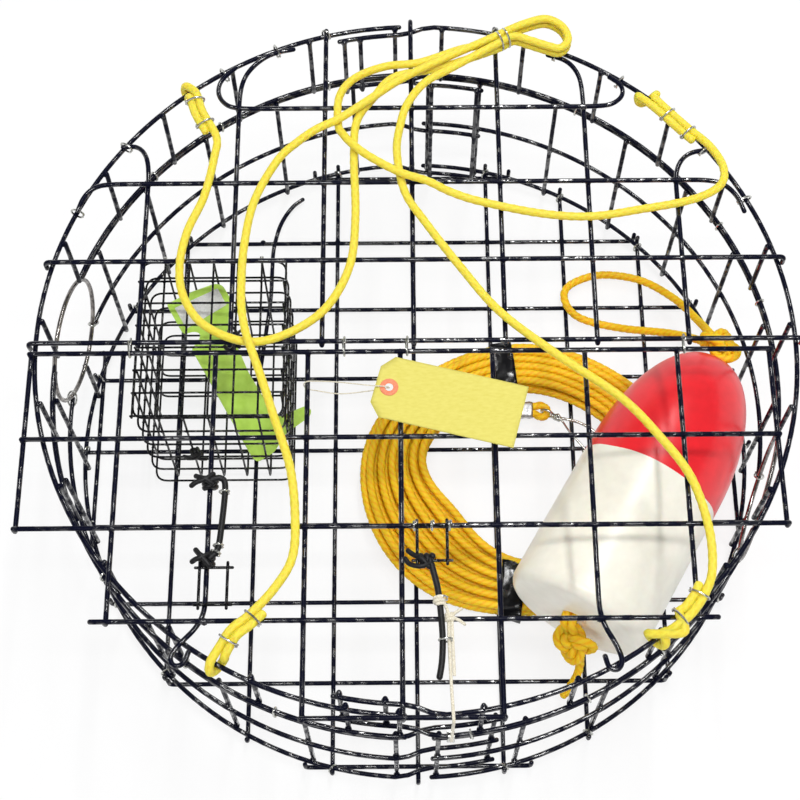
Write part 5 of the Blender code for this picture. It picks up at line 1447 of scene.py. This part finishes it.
class TRAP_OT_ties(bpy.types.Operator):
    """Rubber ties, mesh tabs, cotton link and hook that hold the lid"""
    bl_idname = "crab_trap.ties"
    bl_label = "Lid fastenings"

    def execute(self, context):
        self.side_tie()
        self.latch()
        return {"FINISHED"}

    def side_tie(self):
        x = LID_BARS[2]
        high = ROOF_TOP + STRAP / 2
        skin = Skin()
        for y, tails in ((-0.159, ((-0.013, 0.004), (-0.017, -0.006))),
                         (-0.239, ((-0.010, 0.008), (-0.013, -0.004)))):
            skin.tube(helix((x, y, ROOF_BAR_Z), (0, 1, 0), HALF + STRAP / 2 - 0.0002, STRAP * 0.92,
                            1.9, 30), STRAP / 2, 10)
            for dx, dy in tails:
                skin.tube(curved([(x + 0.004, y - dy, high + 0.0005), (x - 0.003, y, high + 0.0035),
                                  (x + dx * 0.7, y + dy * 0.5, high + 0.0025),
                                  (x + dx, y + dy, high + 0.0005)], 0.0015), STRAP / 2 * 0.85, 10)
        cord = curved([(x + 0.002, -0.160, high + 0.002), (x + 0.011, -0.157, high),
                       (x + 0.016, -0.166, high), (x + 0.014, -0.206, high + 0.0003),
                       (x + 0.011, -0.230, high), (x + 0.004, -0.240, high + 0.0015)], 0.002)
        skin.tube(cord, STRAP / 2, 12)
        skin.piece("side_rubber_tie", finish_of(cut_rubber), "lid", "rubber", "side_tie")
        rings = Skin()
        rope_ring(rings, (x + 0.0153, -0.172, high), (0.05, 1, 0), (1, 0, 0), 0.0034, 0.0034)
        rope_ring(rings, (x + 0.0115, -0.227, high), (0.1, 1, 0), (1, 0, 0), 0.0034, 0.0034)
        rope_ring(rings, (x + 0.0090, -0.234, high), (0.5, 1, 0), (1, 0, 0), 0.0036, 0.0036)
        rings.piece("side_tie_hog_rings", finish_of(hot_dip_galvanised), "lid", "galvanised",
                    "side_tie_ring_1", "side_tie_ring_2")
        scrap = Skin()
        mesh_scrap(scrap, (x - 0.006, x + 0.021), (-0.284, -0.247),
                   ROOF_BAR_Z + HALF + GAP + 0.0015)
        scrap.piece("side_mesh_scrap", finish_of(vinyl_fine_mesh), "lid", "bait_wire", "side_mesh")

    def latch(self):
        row_y = LID_ROW_Y[2]
        tab_z = ROOF_TOP + BAIT_WIRE / 2
        tab_y = (-0.243, row_y - 0.001)
        tab = Skin()
        mesh_scrap(tab, (-0.001, 0.028), tab_y, tab_z)
        tab.piece("latch_mesh_tab", finish_of(vinyl_fine_mesh), "lid", "bait_wire", "latch_tab")
        rings = Skin()
        for x in (-0.003, 0.014, 0.031):
            hog_ring(rings, (x, row_y - 0.0005, ROOF_ROW_Z + 0.0022), (1, 0, 0), (0, 0, 1),
                     0.0062, 0.0044)
        rings.piece("latch_hog_rings", finish_of(hot_dip_galvanised), "lid", "galvanised",
                    "latch_ring")
        strap_z = ROOF_TOP + STRAP / 2
        knot_at = Vector((0.008, tab_y[0], tab_z))
        strap = Skin()
        strap.tube(helix(knot_at, (1, 0, 0), BAIT_WIRE / 2 + STRAP / 2, STRAP * 0.9, 2.1, 20),
                   STRAP / 2, 10)
        for tail in (((0.004, -0.004), (-0.006, -0.008), (-0.016, -0.005), (-0.021, 0.001)),
                     ((0.002, -0.008), (-0.004, -0.001), (-0.012, 0.004), (-0.018, 0.009))):
            strap.tube(curved([knot_at + Vector((a, b, 0.0052 + 0.002 * math.sin(k * 1.7)))
                               for k, (a, b) in enumerate(tail)], 0.0015), STRAP / 2 * 0.82, 10)
        route = curved([knot_at + Vector((0.003, -0.001, 0.0050)), (0.014, -0.254, strap_z + 0.002),
                        (0.0185, -0.274, strap_z), (0.021, -0.300, strap_z),
                        (0.022, -0.322, strap_z), (0.021, -0.342, strap_z - 0.001),
                        (0.0185, -0.357, strap_z - 0.002)], 0.002)
        strap.tube(route, STRAP / 2, 12)
        strap.piece("latch_rubber_strap", finish_of(cut_rubber), "lid", "rubber", "latch_strap")
        bind = Skin()
        rope_ring(bind, (0.0247, -0.322, strap_z), (0, 1, 0), (1, 0, 0), 0.0052, 0.0034)
        rope_ring(bind, (0.0222, -0.281, strap_z), (0.1, 1, 0), (1, 0, 0), 0.0036, 0.0036)
        bind.piece("strap_hog_rings", finish_of(hot_dip_galvanised), "lid", "galvanised",
                   "strap_ring")
        self.cotton(strap_z)

    def cotton(self, strap_z):
        shank_y = -math.sqrt((CAGE_RADIUS + HALF) ** 2 - HOOK_X ** 2) - GAP - HOOK_THICK / 2
        hole_z = UPPER_HOOP_Z + HALF + 0.008
        outer_y = LID_ROW_Y[4] - HALF - GAP - COTTON / 2
        over_z = ROOF_TOP + COTTON / 2
        skin = Skin()
        skin.tube(helix((0.0195, -0.284, strap_z), (0.03, -1, 0), STRAP / 2 + COTTON / 2, COTTON,
                        2.2, 40), COTTON / 2, 8)
        main = [(0.0240, -0.287, strap_z + 0.001), (0.0275, -0.296, over_z + 0.001),
                (0.0280, -0.322, over_z + 0.001), (0.029, -0.355, over_z), (0.0305, -0.388, over_z),
                (HOOK_X, LID_ROW_Y[4] - HALF, over_z + 0.0004),
                (HOOK_X, outer_y - 0.0005, over_z - 0.0012), (HOOK_X, outer_y - 0.0005, ROOF_BAR_Z),
                (HOOK_X, shank_y - 0.005, 0.285), (HOOK_X, shank_y - 0.005, 0.245),
                (HOOK_X, shank_y - 0.0045, hole_z + 0.006), (HOOK_X, shank_y - 0.002, hole_z)]
        route = curved(main, 0.0014)
        strand = Skin()
        strand.tube(route, COTTON / 2, 9, section=laid(0.009))
        second = [Vector(point) + Vector((0.0034, 0, 0.0004)) for point in main[1:4]]
        skin.tube(curved(second, 0.0014), COTTON / 2, 9, section=laid(0.009))
        for place, heading in (((0.0300, -0.298), (0.010, 0.006)),
                               ((0.0300, -0.300), (0.013, -0.007))):
            start = Vector((*place, over_z + 0.0015))
            skin.tube(curved([start, start + Vector((heading[0] * 0.5, heading[1] * 0.4, 0.002)),
                              start + Vector((*heading, 0.0005))], 0.0012), COTTON / 2, 8,
                      section=laid(0.009))
        skin.tube(helix((0.0290, -0.300, over_z + 0.001), (0, 1, 0), 0.0034, 0.0028, 2.2),
                  COTTON / 2, 8)
        cotton = finish_of(tied_cotton)
        knot = skin.piece("cotton_knot", cotton, "lid", "cotton")
        link = strand.piece("cotton_rot_cord", cotton, "lid", "cotton", "cotton_link")
        self.hook(shank_y, hole_z)

    def hook(self, shank_y, hole_z):
        """Flat strip bent to a J, its tip up inside the lower hoop."""
        under_z = LAP_HOOP_Z - HALF - GAP - HOOK_THICK / 2
        tip_y = -math.sqrt((CAGE_RADIUS - HALF) ** 2 - HOOK_X ** 2) + GAP + HOOK_THICK / 2 + 0.0014
        line = rounded([(0, shank_y, hole_z + 0.007), (0, shank_y, under_z), (0, tip_y, under_z),
                        (0, tip_y, under_z + 0.0055)], 0.0022, 5)
        skin = Skin()
        points = []
        ahead, _, _ = directions(line, False)
        half, rows = HOOK_WIDTH / 2, len(line)
        corners = [(-1, -0.6), (-0.85, -1), (0.85, -1), (1, -0.6), (1, 0.6), (0.85, 1), (-0.85, 1),
                   (-1, 0.6)]
        around = len(corners)
        for number, point in enumerate(line):
            normal = np.cross(ahead[number], (1.0, 0.0, 0.0))
            taper = 0.72 if number in (0, rows - 1) else 1.0
            for side, depth in corners:
                points.append(np.asarray((HOOK_X, point[1], point[2]))
                              + np.asarray((side * half * taper, 0, 0))
                              + normal * depth * HOOK_THICK / 2)
        caps = [tuple(range(around))[::-1], tuple((rows - 1) * around + k for k in range(around))]
        skin.add(points, ring_faces(rows, around) + caps)
        skin.tube(helix((HOOK_X, shank_y, hole_z), (0, 1, 0), 0.0030, 0.0024, 1.1), 0.0006, 6)
        hook = skin.piece("flat_latch_hook", finish_of(hot_dip_galvanised), "hook", "galvanised",
                          "latch_hook")
        fix_normals(hook)


# ---- tag


class TRAP_OT_tag(bpy.types.Operator):
    """Card tag with its patch and cord"""
    bl_idname = "crab_trap.tag"
    bl_label = "Tag"

    def execute(self, context):
        turn = Matrix.Rotation(math.radians(TAG_ANGLE), 4, "Z")
        turn.translation = Vector((*TAG_CENTRE, ROOF_TOP + 0.0003))
        long, wide = TAG_LENGTH / 2, TAG_WIDTH / 2
        along, aside = TAG_CUT
        outline = [(-long, -wide + aside), (-long + along, -wide), (long, -wide), (long, wide),
                   (-long + along, wide), (-long, wide - aside)]
        hole_x, sides = -long + TAG_HOLE_IN, 20
        around = [(hole_x + TAG_HOLE * math.cos(2 * math.pi * k / sides),
                   TAG_HOLE * math.sin(2 * math.pi * k / sides)) for k in range(sides)]
        inner = [(x, y) for x in np.linspace(-long + 0.004, long - 0.004, 34)
                 for y in np.linspace(-wide + 0.003, wide - 0.003, 14)
                 if math.hypot(x - hole_x, y) > TAG_HOLE + 0.002
                 and abs(y) < wide - 0.002 and (x > -long + 0.016 or abs(y) < wide - 0.016)]
        flat = [Vector(point) for point in outline + around + inner]
        first = len(outline)
        edges = [(k, (k + 1) % first) for k in range(first)]
        edges += [(first + k, first + (k + 1) % sides) for k in range(sides)]
        points, _, faces, *_ = geometry.delaunay_2d_cdt(flat, edges, [], 1, 1e-6)
        kept = []
        for face in faces:
            middle = sum((points[index] for index in face), Vector((0, 0))) / len(face)
            if (middle - Vector((hole_x, 0))).length > TAG_HOLE:
                kept.append(tuple(face))
        card = bpy.data.meshes.new("tag_card")
        card.from_pydata([tuple(turn @ Vector((p.x, p.y, self.wave(p.x, p.y)))) for p in points],
                         [], kept)
        card.shade_smooth()
        tag = settle(bpy.data.objects.new("tag_card", card), finish_of(tag_manila), "card",
                     "tag_card", "tag")
        thicken(tag, 0.0005, 1)
        fix_normals(tag)
        self.patch(turn, hole_x)
        self.cord(turn, hole_x)
        return {"FINISHED"}

    @staticmethod
    def wave(x, y):
        """Slight curl of handled card, never below the wires it lies on."""
        share = x / (TAG_LENGTH / 2)
        return 0.0022 * share ** 2 * max(0, share) + 0.0008 * (1 + math.sin(38 * x + 20 * y))

    def patch(self, turn, hole_x):
        points, steps = [], 40
        radii = (TAG_HOLE - 0.0002, TAG_HOLE + 0.0004, 0.0088, 0.0092)
        lifts = (0.0006, 0.00085, 0.00085, 0.0005)
        for radius, lift in zip(radii, lifts):
            for k in range(steps):
                angle = 2 * math.pi * k / steps
                x, y = hole_x + radius * math.cos(angle), radius * math.sin(angle)
                points.append(tuple(turn @ Vector((x, y, self.wave(x, y) + lift))))
        skin = Skin()
        skin.add(points, ring_faces(len(radii), steps))
        patch = skin.piece("tag_patch", finish_of(tag_patch), "card", "tag_card")
        thicken(patch, 0.0003, -1)

    def cord(self, turn, hole_x):
        """Two strands through the hole and round the lid's bar."""
        hole = turn @ Vector((hole_x, 0, 0.0006))
        bar = LID_BARS[3]
        around = HALF + TAG_STRING + 0.0004
        skin = Skin()
        loop = [(hole.x, hole.y, hole.z - 0.001), (hole.x - 0.003, hole.y, hole.z + 0.0022),
                (hole.x - 0.018, hole.y + 0.001, hole.z + 0.0024),
                (bar + 0.030, hole.y + 0.006, ROOF_TOP + 0.0015),
                (bar + 0.006, hole.y + 0.009, ROOF_BAR_Z + around + 0.001),
                (bar, hole.y + 0.009, ROOF_BAR_Z + around),
                (bar - 0.75 * around, hole.y + 0.008, ROOF_BAR_Z + 0.75 * around),
                (bar - around, hole.y + 0.007, ROOF_BAR_Z),
                (bar - 0.75 * around, hole.y + 0.006, ROOF_BAR_Z - 0.75 * around),
                (bar, hole.y + 0.004, ROOF_BAR_Z - around),
                (bar + 0.008, hole.y + 0.002, ROOF_BAR_Z - around + 0.001),
                (bar + 0.034, hole.y - 0.004, ROOF_BAR_Z + 0.002),
                (hole.x - 0.016, hole.y - 0.002, ROOF_TOP - 0.002),
                (hole.x - 0.003, hole.y, ROOF_TOP - 0.0012)]
        route = curved(loop, 0.0010, True)
        skin.tube(route[:-1], TAG_STRING, 7, closed=True, section=laid(0.004))
        skin.piece("tag_string", finish_of(tied_cotton), "card", "cotton", "tag_cord")


# ---- snap


class TRAP_OT_snap(bpy.types.Operator):
    """Wire snap and the sleeve on the line's end"""
    bl_idname = "crab_trap.snap"
    bl_label = "Line snap"

    def execute(self, context):
        zinc = finish_of(hot_dip_galvanised)
        skin = Skin()
        body = [snap_point(along, across) for along, across in
                ((0.004, 0.0), (0.012, 0.0030), (0.028, 0.0070), (0.044, 0.0070), (0.056, 0.0030),
                 (0.0615, -0.005), (0.061, -0.014), (0.056, -0.021), (0.049, -0.0236))]
        skin.tube(curved(body, 0.0015), SNAP_WIRE / 2, 12)
        forward = (snap_point(1, 0) - snap_point(0, 0)).normalized()
        up = (snap_point(0, 0, 1) - snap_point(0, 0, 0)).normalized()
        eye = [snap_point(-0.0085, 0) + (forward * math.cos(a) + up * math.sin(a)) * 0.0080
               for a in np.linspace(0, 2 * math.pi, 40, endpoint=False)]
        skin.tube(eye, 0.0015, 12, closed=True)
        for along, radius in ((-0.0015, 0.0034), (0.002, 0.0040), (0.0065, 0.0036)):
            skin.tube([snap_point(along - 0.0016, 0), snap_point(along + 0.0016, 0)], radius, 16,
                      dome=0.35)
        skin.tube([snap_point(0.004, 0, 0.0), snap_point(0.004, 0, 0.0085)], 0.0012, 10, dome=0.5)
        skin.piece("snap_frame", zinc, "cage", "galvanised", "snap_body")
        arm = Skin()
        arm.tube(helix(snap_point(0.004, 0, 0.0058), up, 0.0026, 0.0014, 1.4), 0.0009, 8)
        arm.tube(curved([snap_point(*corner) for corner in
                         ((0.0062, -0.001, 0.0058), (0.012, -0.0035, 0.0052),
                          (0.020, -0.0070, 0.0016), (0.027, -0.0100, 0.0),
                          (0.038, -0.0148, 0.0), (0.050, -0.0200, 0.0))], 0.0015), 0.0013, 10)
        arm.piece("snap_arm", zinc, "gate", "galvanised", "snap_gate")
        self.sleeve()
        return {"FINISHED"}

    def sleeve(self):
        """Oval crimp round the two lanes of line."""
        turn = Matrix.Rotation(math.radians(SLEEVE_TURN), 4, "Z")
        turn.translation = Vector(SLEEVE_PLACE)
        around, rows = 40, 9
        points = []
        for row in range(rows):
            side = row / (rows - 1) - 0.5
            pinch = 1 - 0.04 * math.cos(4 * math.pi * side)
            for k in range(around):
                spin = 2 * math.pi * k / around
                y = squared(math.cos(spin), 0.7) * (MAIN_LINE + 0.0020)
                z = squared(math.sin(spin), 0.7) * (MAIN_LINE / 2 + 0.0014)
                points.append(tuple(turn @ Vector((side * SLEEVE_LENGTH, y * pinch, z * pinch))))
        skin = Skin()
        skin.add(points, ring_faces(rows, around))
        sleeve = skin.piece("crimp_sleeve", finish_of(pressed_zinc), "cage", "galvanised",
                            "line_sleeve")
        thicken(sleeve, 0.0008, -1)


# ---- stage


class TRAP_OT_stage(bpy.types.Operator):
    """Camera, floor and soft light"""
    bl_idname = "crab_trap.stage"
    bl_label = "Stage"

    def execute(self, context):
        look = context.scene.trap_stage
        data = bpy.data.cameras.new("camera")
        data.lens, data.sensor_width = LENS, SENSOR
        data.shift_x, data.shift_y = LENS_SHIFT
        camera = bpy.data.objects.new("camera", data)
        camera.matrix_world = (Matrix.Translation(CAMERA_PLACE)
                               @ Matrix.Rotation(math.radians(CAMERA_HEADING), 4, "Z")
                               @ Matrix.Rotation(math.radians(90 - CAMERA_DOWN), 4, "X")
                               @ Matrix.Rotation(math.radians(CAMERA_ROLL), 4, "Z"))
        context.scene.collection.objects.link(camera)
        context.scene.camera = camera
        mesh = bpy.data.meshes.new("studio_floor")
        mesh.from_pydata([(x * FLOOR_REACH, y * FLOOR_REACH, -FLOOR_DROP) for x, y in
                          ((-1, -1), (1, -1), (1, 1), (-1, 1))], [], [(0, 1, 2, 3)])
        floor = bpy.data.objects.new("studio_floor", mesh)
        floor.data.materials.append(studio_floor())
        context.scene.collection.objects.link(floor)
        # Long strips draw an unbroken highlight along wires of both directions
        lamps = (("strip_across", (0.0, -1.15, 4.5), (3.8, 0.26)),
                 ("strip_lengthwise", (0.65, 1.84, 4.5), (0.26, 3.8)))
        for name, place, size in lamps:
            lamp = bpy.data.lights.new(name, "AREA")
            lamp.shape, lamp.energy = "RECTANGLE", look.lamp
            lamp.size, lamp.size_y = size
            thing = bpy.data.objects.new(name, lamp)
            thing.location = place
            context.scene.collection.objects.link(thing)
        world = bpy.data.worlds.new("white_walls")
        world.use_nodes = True
        tree = world.node_tree
        light = tree.nodes["Background"]
        # White walls under a dark ceiling, which keeps vinyl black between its highlights
        way = add_node(tree, "ShaderNodeTexCoord")
        parts = add_node(tree, "ShaderNodeSeparateXYZ", {"Vector": way.outputs["Generated"]})
        walls = add_node(tree, "ShaderNodeValToRGB", {"Fac": parts.outputs["Z"]})
        walls.color_ramp.elements[0].position, walls.color_ramp.elements[1].position = 0.28, 0.36
        walls.color_ramp.elements[0].color = (1.0, 1.0, 1.0, 1.0)
        walls.color_ramp.elements[1].color = (look.ceiling, look.ceiling, look.ceiling, 1.0)
        tree.links.new(walls.outputs["Color"], light.inputs["Color"])
        context.scene.world = world
        context.scene.view_settings.view_transform = "Standard"
        return {"FINISHED"}


class TRAP_PT_sidebar(bpy.types.Panel):
    """Lists the trap's settings and steps"""
    bl_idname = "TRAP_PT_sidebar"
    bl_label = "Crab Trap"
    bl_space_type = "VIEW_3D"
    bl_region_type = "UI"
    bl_category = "Crab Trap"

    def draw(self, context):
        scene = context.scene
        for group, names in ((scene.trap_wires, ("coat", "bead", "sides")),
                             (scene.trap_ropes, ("harness", "line", "lay")),
                             (scene.trap_float, ("nose", "body", "border")),
                             (scene.trap_stage, ("lamp", "ceiling"))):
            box = self.layout.box()
            for name in names:
                box.prop(group, name)
        for step in STEPS:
            self.layout.operator(step.bl_idname)


GROUPS = {"trap_wires": TrapWireSettings, "trap_ropes": TrapRopeSettings,
          "trap_float": TrapFloatSettings, "trap_stage": TrapStageSettings}
STEPS = (TRAP_OT_stage, TRAP_OT_ropes, TRAP_OT_cage, TRAP_OT_rings, TRAP_OT_bait, TRAP_OT_float,
         TRAP_OT_ties, TRAP_OT_tag, TRAP_OT_snap)
CLASSES = (*GROUPS.values(), *STEPS, TRAP_PT_sidebar)


def register():
    for item in CLASSES:
        bpy.utils.register_class(item)
    for name, group in GROUPS.items():
        setattr(bpy.types.Scene, name, bpy.props.PointerProperty(type=group))


def unregister():
    for name in GROUPS:
        delattr(bpy.types.Scene, name)
    for item in reversed(CLASSES):
        bpy.utils.unregister_class(item)


def main():
    register()
    for step in STEPS:
        group, action = step.bl_idname.split(".")
        getattr(getattr(bpy.ops, group), action)()


if __name__ == "__main__":
    main()
